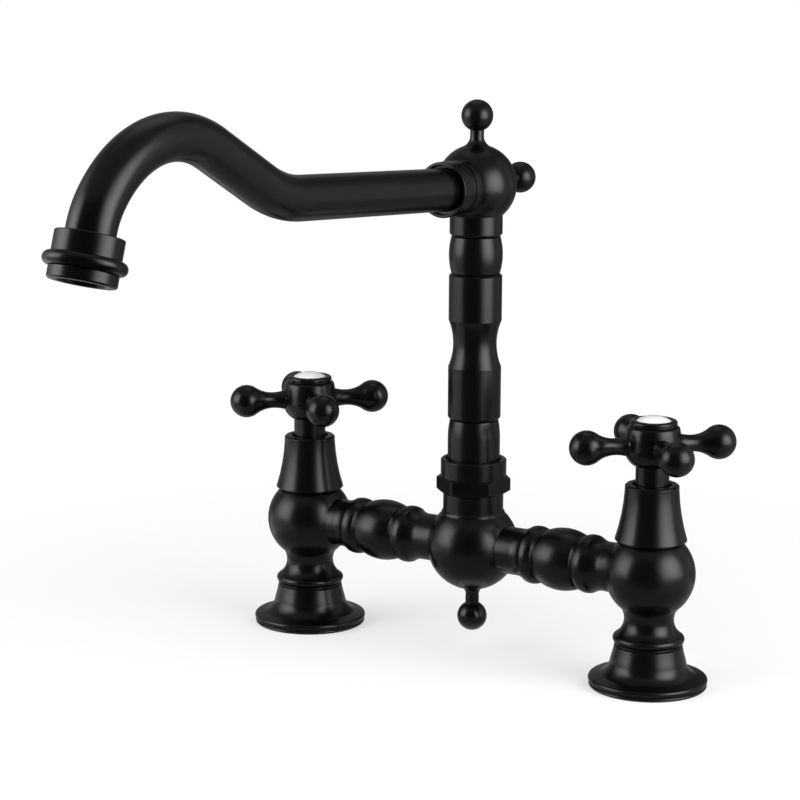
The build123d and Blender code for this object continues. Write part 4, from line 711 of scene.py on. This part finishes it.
class FAUCET_OT_union_nut(bpy.types.Operator):
    """The union nut: a chamfered hexagon with a round collar"""

    bl_idname = "faucet.union_nut"
    bl_label = "Union nut"
    bl_options = {"REGISTER", "UNDO"}

    def execute(self, context):
        s = millimetres(context.scene.faucet_column)
        axis, collar, flats = bridge_z(context), s["nut_collar"], s["nut_flats"]
        bottom, hex_top, top = axis + 27.4, axis + 35.9, axis + 44.9
        corner = flats / float(np.sqrt(3))
        facing = np.radians(s["nut_turn"] + 30.0 + 60.0 * np.arange(6))

        def hexagon(radius, height, angle):
            """Keeps the lower rows inside the six flats.

            A flat stands at half the width across flats in its own direction. The radius is the
            power mean of the outline's and the six flats', with a large negative power, so that
            the edges between them are a little rounded.
            """
            reach = np.maximum(np.cos(angle[..., None] - facing), 1e-6) / (flats / 2)
            total = (reach**NUT_EDGE_POWER).sum(-1) + (1 / radius) ** NUT_EDGE_POWER
            clipped = (height < hex_top + 1e-6) & (radius > NUT_BORE + 0.1)
            return np.where(clipped, total ** (-1 / NUT_EDGE_POWER), radius)

        foot = zip(np.linspace(15.4, corner, 14), np.linspace(bottom, bottom + 1.6, 14))
        shoulder = zip(np.linspace(corner, collar + 0.15, 12), np.linspace(hex_top - 1.3, hex_top, 12))
        surface = turned_surface(context.scene.faucet_layout, [
            (NUT_BORE, bottom), *foot, *shoulder, (collar, hex_top + 0.01), (collar, top - 0.6),
            (collar - 0.6, top), (NUT_BORE, top), (NUT_LIP, top - 1.7), (NUT_LIP, axis + CLIP_HIGH),
            (NUT_BORE, axis + CLIP_HIGH),
        ], corner=0.8, around=NUT_FACETS, shape=hexagon)
        coat("union_nut", surface, "bridge")
        return {"FINISHED"}


# ---- column and head ------------------------------------------------------------------------
class FAUCET_OT_column(bpy.types.Operator):
    """The column: foot with its swivel tail, waisted column and ferrule"""

    bl_idname = "faucet.column"
    bl_label = "Column"
    bl_options = {"REGISTER", "UNDO"}

    def execute(self, context):
        layout = context.scene.faucet_layout
        s = millimetres(context.scene.faucet_column)
        axis, groove, foot, column = bridge_z(context), s["groove"], s["foot"], s["column"]
        shoulder, foot_top = axis + 36.35, axis + 65.0
        low = foot_top + 0.3
        high = low + s["length"]
        waist = (low + high) / 2 + 1.6
        ferrule_low, ferrule_high = high + 0.3, high + 18.7
        foot_surface = turned_surface(layout, [
            (WATERWAY, axis + 17.5), (TAIL, axis + 17.5), (TAIL, axis + 19.55),
            (TAIL_GROOVE, axis + 19.55), (TAIL_GROOVE, axis + 21.45), (TAIL, axis + 21.45),
            (TAIL, axis + 23.05), (TAIL_GROOVE, axis + 23.05), (TAIL_GROOVE, axis + 24.95),
            (TAIL, axis + 24.95), (TAIL, shoulder), (foot, shoulder), (foot, axis + CLIP_LOW),
            (CLIP_GROOVE, axis + CLIP_LOW), (CLIP_GROOVE, axis + CLIP_HIGH),
            (foot, axis + CLIP_HIGH), (foot, foot_top - 9.5), (groove, foot_top, -0.25),
            (SPIGOT, foot_top), (SPIGOT, foot_top + SPIGOT_LENGTH),
            (WATERWAY, foot_top + SPIGOT_LENGTH),
        ])
        column_surface = turned_surface(layout, [
            (SOCKET, low), (groove, low), (column, low + 1.1), (column, waist - 11.8),
            (column, waist + 11.8, s["waist"], waist), (column, high - 1.1), (groove, high),
            (SOCKET, high), (SOCKET, high - 9.3), (WATERWAY, high - 9.3),
            (WATERWAY, low + SPIGOT_LENGTH), (SOCKET, low + SPIGOT_LENGTH),
        ])
        ferrule_surface = turned_surface(layout, [
            (WATERWAY, ferrule_low - SPIGOT_LENGTH), (SPIGOT, ferrule_low - SPIGOT_LENGTH),
            (SPIGOT, ferrule_low), (groove, ferrule_low),
            (groove, ferrule_high, s["ferrule"], (ferrule_low + ferrule_high) / 2),
            (SPIGOT, ferrule_high), (SPIGOT, ferrule_high + SPIGOT_LENGTH),
            (WATERWAY, ferrule_high + SPIGOT_LENGTH),
        ])
        coat("column_foot", foot_surface, "spout")
        coat("column", column_surface, "spout")
        coat("column_ferrule", ferrule_surface, "spout")
        return {"FINISHED"}


class FAUCET_OT_head(bpy.types.Operator):
    """The head: ball on a short neck with a boss in front, and its two finials"""

    bl_idname = "faucet.head"
    bl_label = "Head"
    bl_options = {"REGISTER", "UNDO"}

    def execute(self, context):
        layout = context.scene.faucet_layout
        s = millimetres(context.scene.faucet_head)
        groove = millimetres(context.scene.faucet_column)["groove"]
        ball, centre, boss = s["ball"], s["height"], s["boss"]
        low, foot = centre - 25.3, FINIAL_FOOT
        flat = ball_edge(ball, 0.0, foot, 1)
        ball_surface = turned_surface(layout, [
            (0.0, centre), (WATERWAY, centre), (WATERWAY, low + SPIGOT_LENGTH),
            (SOCKET, low + SPIGOT_LENGTH), (SOCKET, low), (groove, low), (13.2, low + 1.1),
            (13.2, ball_edge(ball, centre, 13.2, -1)), (foot, centre + flat, ball, centre),
            (STUD_HOLE, centre + flat), (STUD_HOLE, centre + flat - STUD_LENGTH - FIT),
            (0.0, centre + flat - STUD_LENGTH - FIT),
        ], closed=False)
        boss_surface = turned_surface(layout, [
            (SPOUT_STOP, SPOUT_START), (boss, SPOUT_START), (boss, 20.4), (11.8, 20.4),
            (11.8, RING_LOW), (12.2, RING_LOW), (12.2, 26.0), (SPOUT_STOP, 26.0),
        ])
        origin = (0.0, 0.0, centre)
        head = joined(ball_surface, placed(boss_surface, origin, FORWARD))
        coat("head_body", head, "spout")
        for name, direction in (("top", UP), ("rear", BACKWARD)):
            knob = finial_surface(layout, flat, foot, s[f"{name}_reach"], s["finial"])
            coat(f"{name}_finial", placed(knob, origin, direction), "spout")
        return {"FINISHED"}


# ---- spout ----------------------------------------------------------------------------------
def spout_stations(s, start, height):
    """Points (forward, up) and headings along the tube's centre line, and the outlet's start.

    Each part of the route is a straight run or a circular bend: its length or radius, the
    heading at its end in degrees, and whether it bends. Along a bend the heading grows evenly,
    and a point is the bend's centre plus its radius square to the heading.
    """
    outlet = -s["outlet"]
    parts = (
        (COLLAR_STRAIGHT - start, 0.0, False),
        (RISE_BEND, s["rise"], True),
        (s["rise_length"], s["rise"], False),
        (CLIMB_BEND, s["climb"], True),
        (s["climb_length"], s["climb"], False),
        (s["crook"], CROOK_END, True),
        (MOUTH_BEND, outlet, True),
        (MOUTH_STRAIGHT, outlet, False),
        (OUTLET_OVERLAP, outlet, False),
    )
    here, heading = np.array([start, height]), 0.0
    points, headings, ends = [here[None, :]], [np.array([0.0])], []
    for amount, goal, bends in parts:
        if bends:
            angles = np.linspace(heading, goal, max(3, int(abs(goal - heading) / BEND_STEP)) + 1)[1:]
            arm = amount * np.sign(goal - heading)
            square = np.array([-np.sin(np.radians(heading)), np.cos(np.radians(heading))])
            centre = here + arm * square
            rows = centre + arm * np.column_stack([np.sin(np.radians(angles)), -np.cos(np.radians(angles))])
        else:
            along = np.array([np.cos(np.radians(goal)), np.sin(np.radians(goal))])
            reach = np.linspace(0.0, amount, max(2, int(amount / STRAIGHT_STEP)) + 1)[1:]
            rows, angles = here + reach[:, None] * along, np.full(len(reach), goal)
        points.append(rows)
        headings.append(angles)
        ends.append(rows[-1])
        here, heading = rows[-1], goal
    return np.vstack(points), np.concatenate(headings), ends[-2]


def swept_tube(points, headings, outer, inner, around):
    """A tube with a wall along a route in the upright plane through the spout.

    The point at station s and angle a is the station's point plus the radius times
    (cos a sideways, sin a square to the heading). The stations run out along the outside and
    back along the bore, and the last joins the first, which closes both ends.
    """
    heading = np.radians(headings)
    square = np.column_stack([-np.sin(heading), np.cos(heading)])
    there = np.concatenate([np.arange(len(points)), np.arange(len(points))[::-1]])
    radius = np.repeat([outer, inner], len(points))[:, None]
    angle = (-np.arange(around) * 2 * np.pi / around)[None, :]
    x = radius * np.cos(angle)
    rise = radius * np.sin(angle)
    forward = points[there, :1] + rise * square[there, :1]
    up = points[there, 1:] + rise * square[there, 1:]
    grid = np.stack([x, -forward, up], axis=-1).reshape(-1, 3)
    return grid, grid_faces(len(there), around, True)


class FAUCET_OT_spout(bpy.types.Operator):
    """The swan-neck tube, with the thin ring and the collar at its root"""

    bl_idname = "faucet.spout"
    bl_label = "Spout"
    bl_options = {"REGISTER", "UNDO"}

    def execute(self, context):
        layout = context.scene.faucet_layout
        s = millimetres(context.scene.faucet_spout)
        head = millimetres(context.scene.faucet_head)
        centre, collar = head["height"], head["collar"]
        points, headings, _ = spout_stations(s, SPOUT_START, centre)
        tube = swept_tube(points, headings, s["tube"], s["tube"] - s["wall"], layout.around)
        ring_surface = turned_surface(layout, [
            (SPOUT_SEAL, RING_LOW), (collar - 0.6, RING_LOW), (collar - 0.35, 21.45),
            (collar - 0.35, 22.95), (collar - 0.6, RING_HIGH), (SPOUT_SEAL, RING_HIGH),
        ], corner=0.6)
        collar_surface = turned_surface(layout, [
            (SPOUT_SEAL, 24.0), (collar - 0.3, 24.0), (collar, 24.3), (collar, 31.7),
            (collar - 0.6, 32.3, -0.17), (12.1, 32.3), (12.1, 29.7), (SPOUT_STOP, 29.7),
            (SPOUT_STOP, 27.7), (SPOUT_SEAL, 27.7),
        ])
        origin = (0.0, 0.0, centre)
        coat("spout_tube", tube, "spout")
        ring, cup = placed(ring_surface, origin, FORWARD), placed(collar_surface, origin, FORWARD)
        coat("collar_ring", ring, "spout")
        coat("spout_collar", cup, "spout")
        return {"FINISHED"}


class FAUCET_OT_outlet(bpy.types.Operator):
    """The outlet: collar with its bead, and the mouth below it"""

    bl_idname = "faucet.outlet"
    bl_label = "Outlet"
    bl_options = {"REGISTER", "UNDO"}

    def execute(self, context):
        layout = context.scene.faucet_layout
        s = millimetres(context.scene.faucet_spout)
        centre = millimetres(context.scene.faucet_head)["height"]
        _, _, (forward, up) = spout_stations(s, SPOUT_START, centre)
        fall = np.radians(s["outlet"])
        origin, direction = (0.0, -forward, up), (0.0, -np.cos(fall), -np.sin(fall))
        socket, collar, bead = s["tube"] + FIT, s["collar"], s["bead"]
        bore = s["tube"] - s["wall"]
        collar_surface = turned_surface(layout, [
            (socket, 0.0), (collar - 0.4, 0.0), (collar, 0.4), (collar, 8.8), (collar + 0.2, 8.8),
            (collar + 0.2, OUTLET_END, bead, 11.7), (OUTLET_THREAD + FIT, OUTLET_END),
            (OUTLET_THREAD + FIT, OUTLET_OVERLAP + 1.0), (bore, OUTLET_OVERLAP + 1.0),
            (bore, OUTLET_OVERLAP), (socket, OUTLET_OVERLAP),
        ])
        mouth_surface = turned_surface(layout, [
            (11.2, 7.85), (OUTLET_THREAD, 7.85), (OUTLET_THREAD, OUTLET_END),
            (collar - 0.3, OUTLET_END), (collar, 14.9), (collar, 19.2), (collar - 0.7, 19.9),
            (10.9, 19.9), (10.2, 19.2), (10.2, 17.9), (11.2, 17.9),
        ])
        cup, mouth = placed(collar_surface, origin, direction), placed(mouth_surface, origin, direction)
        coat("outlet_collar", cup, "spout")
        coat("aerator_housing", mouth, "spout")
        return {"FINISHED"}


# ---- finishes -------------------------------------------------------------------------------
def add_node(tree, kind, values=None, **settings):
    """A shader node with its settings, and with plain values on its inputs."""
    node = tree.nodes.new(f"ShaderNode{kind}")
    for name, value in settings.items():
        setattr(node, name, value)
    for socket, value in (values or {}).items():
        node.inputs[socket].default_value = value
    return node


def wire(tree, *links):
    """Links each (source node, its output, target node, its input)."""
    for source, output, target, socket in links:
        tree.links.new(source.outputs[output], target.inputs[socket])


def fresh_tree(owner):
    """The emptied node tree of a material, a light or the world."""
    owner.use_nodes = True
    owner.node_tree.nodes.clear()
    return owner.node_tree


def new_group(name, numbers, output):
    """An empty node group with a vector and number inputs, and one number output."""
    group = bpy.data.node_groups.new(name, "ShaderNodeTree")
    group.interface.new_socket("Vector", in_out="INPUT", socket_type="NodeSocketVector")
    for label in numbers:
        group.interface.new_socket(label, in_out="INPUT", socket_type="NodeSocketFloat")
    group.interface.new_socket(output, in_out="OUTPUT", socket_type="NodeSocketFloat")
    return group, group.nodes.new("NodeGroupInput"), group.nodes.new("NodeGroupOutput")


def grain_group():
    """Grain: the height of fine pebbles, a fine noise plus a third of a noise four times as wide."""
    group, given, made = new_group("grain", ("Scale",), "Height")
    fine = add_node(group, "TexNoise", {"Detail": 3.0, "Roughness": 0.6})
    wide = add_node(group, "TexNoise", {"Detail": 2.0, "Roughness": 0.5})
    quarter = add_node(group, "Math", {1: 0.25}, operation="MULTIPLY")
    total = add_node(group, "Math", {1: 0.33}, operation="MULTIPLY_ADD")
    wire(
        group,
        (given, "Vector", fine, "Vector"),
        (given, "Vector", wide, "Vector"),
        (given, "Scale", fine, "Scale"),
        (given, "Scale", quarter, 0),
        (quarter, 0, wide, "Scale"),
        (wide, "Fac", total, 0),
        (fine, "Fac", total, 2),
        (total, 0, made, "Height"),
    )
    return group


def drift_group():
    """Drift: a value that wanders slowly over the surface, between a low and a high."""
    group, given, made = new_group("drift", ("Scale", "Low", "High"), "Value")
    slow = add_node(group, "TexNoise", {"Detail": 4.0, "Roughness": 0.55})
    spread = add_node(group, "MapRange", {"From Min": 0.3, "From Max": 0.7})
    wire(
        group,
        (given, "Vector", slow, "Vector"),
        (given, "Scale", slow, "Scale"),
        (slow, "Fac", spread, "Value"),
        (given, "Low", spread, "To Min"),
        (given, "High", spread, "To Max"),
        (spread, "Result", made, "Value"),
    )
    return group


def turning_group():
    """Turning marks: fine rings along the height, broken up by a slow noise."""
    group, given, made = new_group("turning", ("Scale",), "Height")
    rings = add_node(
        group, "TexWave", {"Distortion": 1.5, "Detail": 2.0}, wave_type="BANDS", bands_direction="Z"
    )
    wire(
        group,
        (given, "Vector", rings, "Vector"),
        (given, "Scale", rings, "Scale"),
        (rings, "Fac", made, "Height"),
    )
    return group


def add_group(tree, group, place, **values):
    """A group's node in a material, fed with Object coordinates and its own numbers."""
    node = add_node(tree, "Group", values, node_tree=group)
    wire(tree, (place, "Object", node, "Vector"))
    return node


def finish(slot, groups, base, spread, roughness, bump, **shader_values):
    """A material for one slot: two tones, wandering roughness and a fine bump.

    The tones are the base colour made darker and lighter by the share spread. bump is (group
    name, scale, strength, distance in metres).
    """
    tree = fresh_tree(bpy.data.materials[slot])
    output, place = add_node(tree, "OutputMaterial"), add_node(tree, "TexCoord")
    values = {label.replace("_", " "): value for label, value in shader_values.items()}
    shader = add_node(tree, "BsdfPrincipled", values)
    low, high = roughness
    worn = add_group(tree, groups["drift"], place, Scale=DRIFT_SCALE, Low=low, High=high)
    tint = add_group(tree, groups["drift"], place, Scale=TINT_SCALE, Low=0.0, High=1.0)
    dark, light = ((*(min(1.0, c * share) for c in base), 1.0) for share in (1 - spread, 1 + spread))
    tones = add_node(tree, "Mix", {6: dark, 7: light}, data_type="RGBA")
    kind, scale, strength, distance = bump
    marks = add_group(tree, groups[kind], place, Scale=scale)
    raised = add_node(tree, "Bump", {"Strength": strength, "Distance": distance})
    wire(
        tree,
        (worn, "Value", shader, "Roughness"),
        (tint, "Value", tones, 0),
        (tones, 2, shader, "Base Color"),
        (marks, "Height", raised, "Height"),
        (raised, "Normal", shader, "Normal"),
        (shader, "BSDF", output, "Surface"),
    )


class FAUCET_OT_finishes(bpy.types.Operator):
    """Procedural finishes for every material slot, worn by the new pieces and the inner fittings"""

    bl_idname = "faucet.finishes"
    bl_label = "Finishes"
    bl_options = {"REGISTER", "UNDO"}

    def execute(self, context):
        s = context.scene.faucet_finish
        groups = {"grain": grain_group(), "drift": drift_group(), "turning": turning_group()}
        gloss, grain = s.coating_gloss, ("grain", 1.0 / s.grain, s.grain_depth, 0.00004)
        glaze = {"Coat_Weight": 0.35, "Coat_Roughness": 0.03}
        ceramic, bearing, mesh = (0.84, 0.83, 0.79), (0.78, 0.78, 0.75), (0.09, 0.09, 0.092)
        metal = {"Metallic": 1.0}
        for slot, base, spread, roughness, bump, shader_values in (
            ("black_coating", s.coating, 0.12, (gloss - 0.02, gloss + 0.02), grain,
             {"Specular_IOR_Level": 0.25}),
            ("white_porcelain", s.porcelain, 0.012, (0.05, 0.09), ("grain", 220.0, 0.05, 0.0002), glaze),
            ("brass", s.brass, 0.06, (0.26, 0.38), ("turning", 900.0, 0.12, 0.00003), metal),
            ("steel", s.steel, 0.05, (0.28, 0.40), ("grain", 2500.0, 0.10, 0.00003), metal),
            ("seal_rubber", s.rubber, 0.15, (0.55, 0.72), ("grain", 3000.0, 0.20, 0.00004), {}),
            ("disc_ceramic", ceramic, 0.02, (0.18, 0.28), ("grain", 1800.0, 0.05, 0.00002), {}),
            ("bearing_plastic", bearing, 0.03, (0.42, 0.52), ("grain", 1500.0, 0.12, 0.00004), {}),
            ("mesh_plastic", mesh, 0.08, (0.42, 0.55), ("grain", 1500.0, 0.12, 0.00004), {}),
        ):
            finish(slot, groups, base, spread, roughness, bump, **shader_values)
        return {"FINISHED"}


# ---- studio ---------------------------------------------------------------------------------
def direction_at(azimuth, elevation=0.0):
    """The unit direction at an azimuth from straight in front, turning towards +X."""
    flat = np.cos(elevation)
    return np.array([np.sin(azimuth) * flat, -np.cos(azimuth) * flat, np.sin(elevation)])


def seen_ray(tree):
    """A node that gives 1 for a ray from the camera, a mirror or a glass, and 0 for scattered light."""
    path = add_node(tree, "LightPath")
    direct, any_seen = (add_node(tree, "Math", operation="MAXIMUM") for _ in range(2))
    wire(
        tree,
        (path, "Is Camera Ray", direct, 0),
        (path, "Is Glossy Ray", direct, 1),
        (direct, 0, any_seen, 0),
        (path, "Is Transmission Ray", any_seen, 1),
    )
    return any_seen


def stage_mesh(name, points, faces, material):
    """A mesh of the studio, which isn't part of the faucet."""
    mesh = bpy.data.meshes.new(name)
    mesh.from_pydata((points * MM).tolist(), [], [list(dict.fromkeys(f)) for f in faces.tolist()])
    mesh.materials.append(material)
    thing = bpy.data.objects.new(name, mesh)
    bpy.context.scene.collection.objects.link(thing)
    return thing


class FAUCET_OT_studio(bpy.types.Operator):
    """Camera, soft lights, pale floor, white surroundings and glowing sheets that paint reflections"""

    bl_idname = "faucet.studio"
    bl_label = "Studio"
    bl_options = {"REGISTER", "UNDO"}

    def execute(self, context):
        scene, s = context.scene, context.scene.faucet_studio
        scene.view_settings.view_transform = "Standard"
        self.camera(scene, s)
        self.lights(scene, s)
        self.surroundings(scene)
        self.floor(s)
        self.screens(s)
        return {"FINISHED"}

    def camera(self, scene, s):
        """A long lens at its distance from the aim, moved a little left and down."""
        back = direction_at(s.azimuth, s.elevation)
        right = np.cross(UP, back)
        right /= np.linalg.norm(right)
        up = np.cross(back, right)
        across = np.cos(s.roll) * right + np.sin(s.roll) * up
        above = np.cos(s.roll) * up - np.sin(s.roll) * right
        aim = np.array([0.0, 0.0, s.aim_height]) - across * s.aim_left - above * s.aim_low
        data = bpy.data.cameras.new("camera")
        data.sensor_width = SENSOR_WIDTH
        data.lens = s.lens * SENSOR_WIDTH
        data.clip_start, data.clip_end = 0.05, 50.0
        camera = bpy.data.objects.new("camera", data)
        scene.collection.objects.link(camera)
        axes = np.column_stack([across, above, back, aim + back * s.distance])
        camera.matrix_world = Matrix([*axes.tolist(), [0.0, 0.0, 0.0, 1.0]])
        scene.camera = camera

    def lights(self, scene, s):
        """Two tall soft lights beside the camera and a wide one overhead.

        Each row: name, radiance, degrees from the camera's azimuth, width, height, level of its
        middle and distance from the column, in metres.
        """
        for name, radiance, beside, width, height, level, away in (
            ("right_light", s.right_light, 53.0, 1.16, 1.35, 0.38, 0.80),
            ("left_light", s.left_light, -71.0, 2.80, 2.40, 0.60, 1.60),
            ("top_light", s.top_light, 180.0, 1.10, 0.80, 1.1, 0.30),
        ):
            data = bpy.data.lights.new(name, "AREA")
            data.shape = "RECTANGLE"
            data.size, data.size_y = width, height
            data.energy = radiance * width * height * np.pi
            self.fade(data)
            light = bpy.data.objects.new(name, data)
            scene.collection.objects.link(light)
            side = direction_at(s.azimuth + np.radians(beside)) * away
            place = Vector((side[0], side[1], level))
            turned = (Vector((0.0, 0.0, LIGHT_AIM)) - place).to_track_quat("-Z", "Y").to_matrix().to_4x4()
            light.matrix_world = Matrix.Translation(place) @ turned
            light.visible_camera = False

    def fade(self, data):
        """Lets a light fall off from its middle to its edges, as cloth before a lamp does.

        Across and along, the strength is the square of 1 - x * x, with x from -1 to 1.
        """
        tree = fresh_tree(data)
        output, glow = add_node(tree, "OutputLight"), add_node(tree, "Emission")
        place, split = add_node(tree, "NewGeometry"), add_node(tree, "SeparateXYZ")
        wire(tree, (place, "Parametric", split, 0), (glow, 0, output, "Surface"))

        def maths(operation, first, second):
            node = add_node(tree, "Math", operation=operation)
            for socket, value in zip(node.inputs, (first, second)):
                if isinstance(value, float):
                    socket.default_value = value
                else:
                    tree.links.new(value, socket)
            return node.outputs[0]

        def hump(value):
            x = maths("SUBTRACT", maths("MULTIPLY", value, 2.0), 1.0)
            inside = maths("SUBTRACT", 1.0, maths("MULTIPLY", x, x))
            return maths("MULTIPLY", inside, inside)

        strength = maths("MULTIPLY", hump(split.outputs["X"]), hump(split.outputs["Y"]))
        tree.links.new(strength, glow.inputs["Strength"])

    def surroundings(self, scene):
        """White to the camera and in reflections, and a soft fill for everything else."""
        scene.world = bpy.data.worlds.new("surroundings")
        tree = fresh_tree(scene.world)
        output, mix = add_node(tree, "OutputWorld"), add_node(tree, "MixShader")
        seen = add_node(tree, "Background", {"Color": WHITE})
        fill = add_node(tree, "Background", {"Color": WHITE, "Strength": FILL_LIGHT})
        wire(
            tree,
            (seen_ray(tree), 0, mix, "Fac"),
            (fill, 0, mix, 1),
            (seen, 0, mix, 2),
            (mix, 0, output, "Surface"),
        )

    def floor(self, s):
        """A round worktop of pale white. It keeps the faucet's shadow, and fades to plain white."""
        material = bpy.data.materials.new("floor_white")
        tree = fresh_tree(material)
        output, place = add_node(tree, "OutputMaterial"), add_node(tree, "TexCoord")
        matte = add_node(tree, "BsdfDiffuse", {"Color": WHITE})
        plain = add_node(tree, "BsdfDiffuse", {"Color": BOUNCE_GREY})
        white = add_node(tree, "Emission")
        lit = add_node(tree, "MixShader", {"Fac": s.floor})
        far, seen = add_node(tree, "MixShader"), add_node(tree, "MixShader")
        distance = add_node(tree, "VectorMath", operation="LENGTH")
        fade = add_node(
            tree,
            "MapRange",
            {"From Min": SHADE_RADIUS, "From Max": PLAIN_RADIUS},
            interpolation_type="SMOOTHSTEP",
        )
        wire(
            tree,
            (place, "Object", distance, 0),
            (distance, "Value", fade, "Value"),
            (matte, 0, lit, 1),
            (white, 0, lit, 2),
            (fade, "Result", far, "Fac"),
            (lit, 0, far, 1),
            (white, 0, far, 2),
            (seen_ray(tree), 0, seen, "Fac"),
            (plain, 0, seen, 1),
            (far, 0, seen, 2),
            (seen, 0, output, "Surface"),
        )
        rows = np.array([(0.0, 0.0), (0.5, 0.0), (1.5, 0.0), (4.0, 0.0)]) / MM
        points, faces = revolved(rows, ROUND_STEPS, False)
        stage_mesh("floor", points * np.array([1.0, 1.0, 0.0]), faces[:, ::-1], material)

    def screens(self, s):
        """Sheets round the faucet and on the worktop that glow though they are no lamps, seen only in its
        reflections: painted reflections of darker and lighter surroundings, and of the worktop darker or
        lighter than it is.

        Each row: name, its two ends in degrees from the camera's azimuth, its two radii and its
        two levels in metres, and its brightness. It is a part of a cone between the two circles.
        """
        # Painted reflections: each row's brightness is a glow that only reflections see, standing in for
        # darker and lighter surroundings and for the worktop's shaded reflection.
        for name, sector, radii, levels, strength in (
            ("front_screen", (-60.0, 30.0), (1.20, 1.20), (0.001, 1.24), 0.02),
            ("side_screen", (80.0, 122.0), (0.90, 0.90), (0.001, 1.24), 0.55),
            ("corner_screen", (122.0, 140.0), (0.90, 0.90), (0.001, 1.24), 0.17),
            ("back_screen", (140.0, 168.0), (0.90, 0.90), (0.001, 1.24), 0.10),
            ("rear_screen", (168.0, 246.0), (0.90, 0.90), (0.001, 1.24), 0.26),
            ("front_canopy", (-110.0, 90.0), (0.001, 1.30), (1.25, 1.25), 0.35),
            ("rear_canopy", (90.0, 250.0), (0.001, 1.30), (1.25, 1.25), 0.18),
            ("near_cloth", (30.0, 300.0), (0.02, 0.20), (0.001, 0.001), 0.42),
            ("middle_cloth", (-60.0, 30.0), (0.02, 0.20), (0.001, 0.001), 0.39),
            ("front_cloth", (-60.0, 30.0), (0.20, 1.20), (0.001, 0.001), 0.06),
            ("right_cloth", (30.0, 100.0), (0.20, 0.90), (0.001, 0.001), 0.60),
            ("back_cloth", (100.0, 228.0), (0.20, 0.90), (0.001, 0.001), 0.22),
            ("left_cloth", (228.0, 300.0), (0.20, 0.90), (0.001, 0.001), 0.90),
        ):
            material = bpy.data.materials.new(name)
            tree = fresh_tree(material)
            glow = add_node(tree, "Emission", {"Strength": strength})
            wire(tree, (glow, 0, add_node(tree, "OutputMaterial"), "Surface"))
            angle = s.azimuth + np.radians(np.linspace(*sector, REFLECTION_SHEET_STEPS + 1))[None, :]
            radius, level = (np.array(ends)[:, None] / MM for ends in (radii, levels))
            grid = np.broadcast_arrays(radius * np.sin(angle), -radius * np.cos(angle), level)
            i = np.arange(REFLECTION_SHEET_STEPS)
            faces = np.column_stack([i, i + 1, i + REFLECTION_SHEET_STEPS + 2, i + REFLECTION_SHEET_STEPS + 1])
            reflection_sheet = stage_mesh(name, np.stack(grid, axis=-1).reshape(-1, 3), faces, material)
            # Hidden from the camera, from scattered light and from shadows, so that the glow only paints
            # reflections.
            reflection_sheet.visible_camera = reflection_sheet.visible_diffuse = reflection_sheet.visible_shadow = False


# ---- add-on ---------------------------------------------------------------------------------
OPERATORS = (
    FAUCET_OT_finishes, FAUCET_OT_flanges, FAUCET_OT_valve_bodies, FAUCET_OT_bonnets,
    FAUCET_OT_hubs, FAUCET_OT_crosses, FAUCET_OT_buttons, FAUCET_OT_bridge_arms,
    FAUCET_OT_mixing_tee, FAUCET_OT_union_nut, FAUCET_OT_column, FAUCET_OT_head,
    FAUCET_OT_spout, FAUCET_OT_outlet, FAUCET_OT_studio,
)


class FAUCET_PT_panel(bpy.types.Panel):
    """The faucet's sizes, finishes and building steps"""

    bl_idname = "FAUCET_PT_panel"
    bl_label = "Bridge Faucet"
    bl_space_type = "VIEW_3D"
    bl_region_type = "UI"
    bl_category = "Faucet"

    def draw(self, context):
        layout = self.layout
        for key in GROUPS:
            group = getattr(context.scene, key)
            box = layout.box()
            box.label(text=key.replace("faucet_", "").capitalize())
            for name in type(group).__annotations__:
                box.prop(group, name)
        column = layout.column(align=True)
        for operator in OPERATORS:
            column.operator(operator.bl_idname)


def register():
    for group in GROUPS.values():
        bpy.utils.register_class(group)
    for operator in OPERATORS:
        bpy.utils.register_class(operator)
    bpy.utils.register_class(FAUCET_PT_panel)
    for key, group in GROUPS.items():
        setattr(bpy.types.Scene, key, PointerProperty(type=group))


def unregister():
    for key in GROUPS:
        delattr(bpy.types.Scene, key)
    bpy.utils.unregister_class(FAUCET_PT_panel)
    for operator in reversed(OPERATORS):
        bpy.utils.unregister_class(operator)
    for group in reversed(list(GROUPS.values())):
        bpy.utils.unregister_class(group)


def main():
    register()
    for operator in OPERATORS:
        family, name = operator.bl_idname.split(".")
        getattr(getattr(bpy.ops, family), name)()


if __name__ == "__main__":
    main()
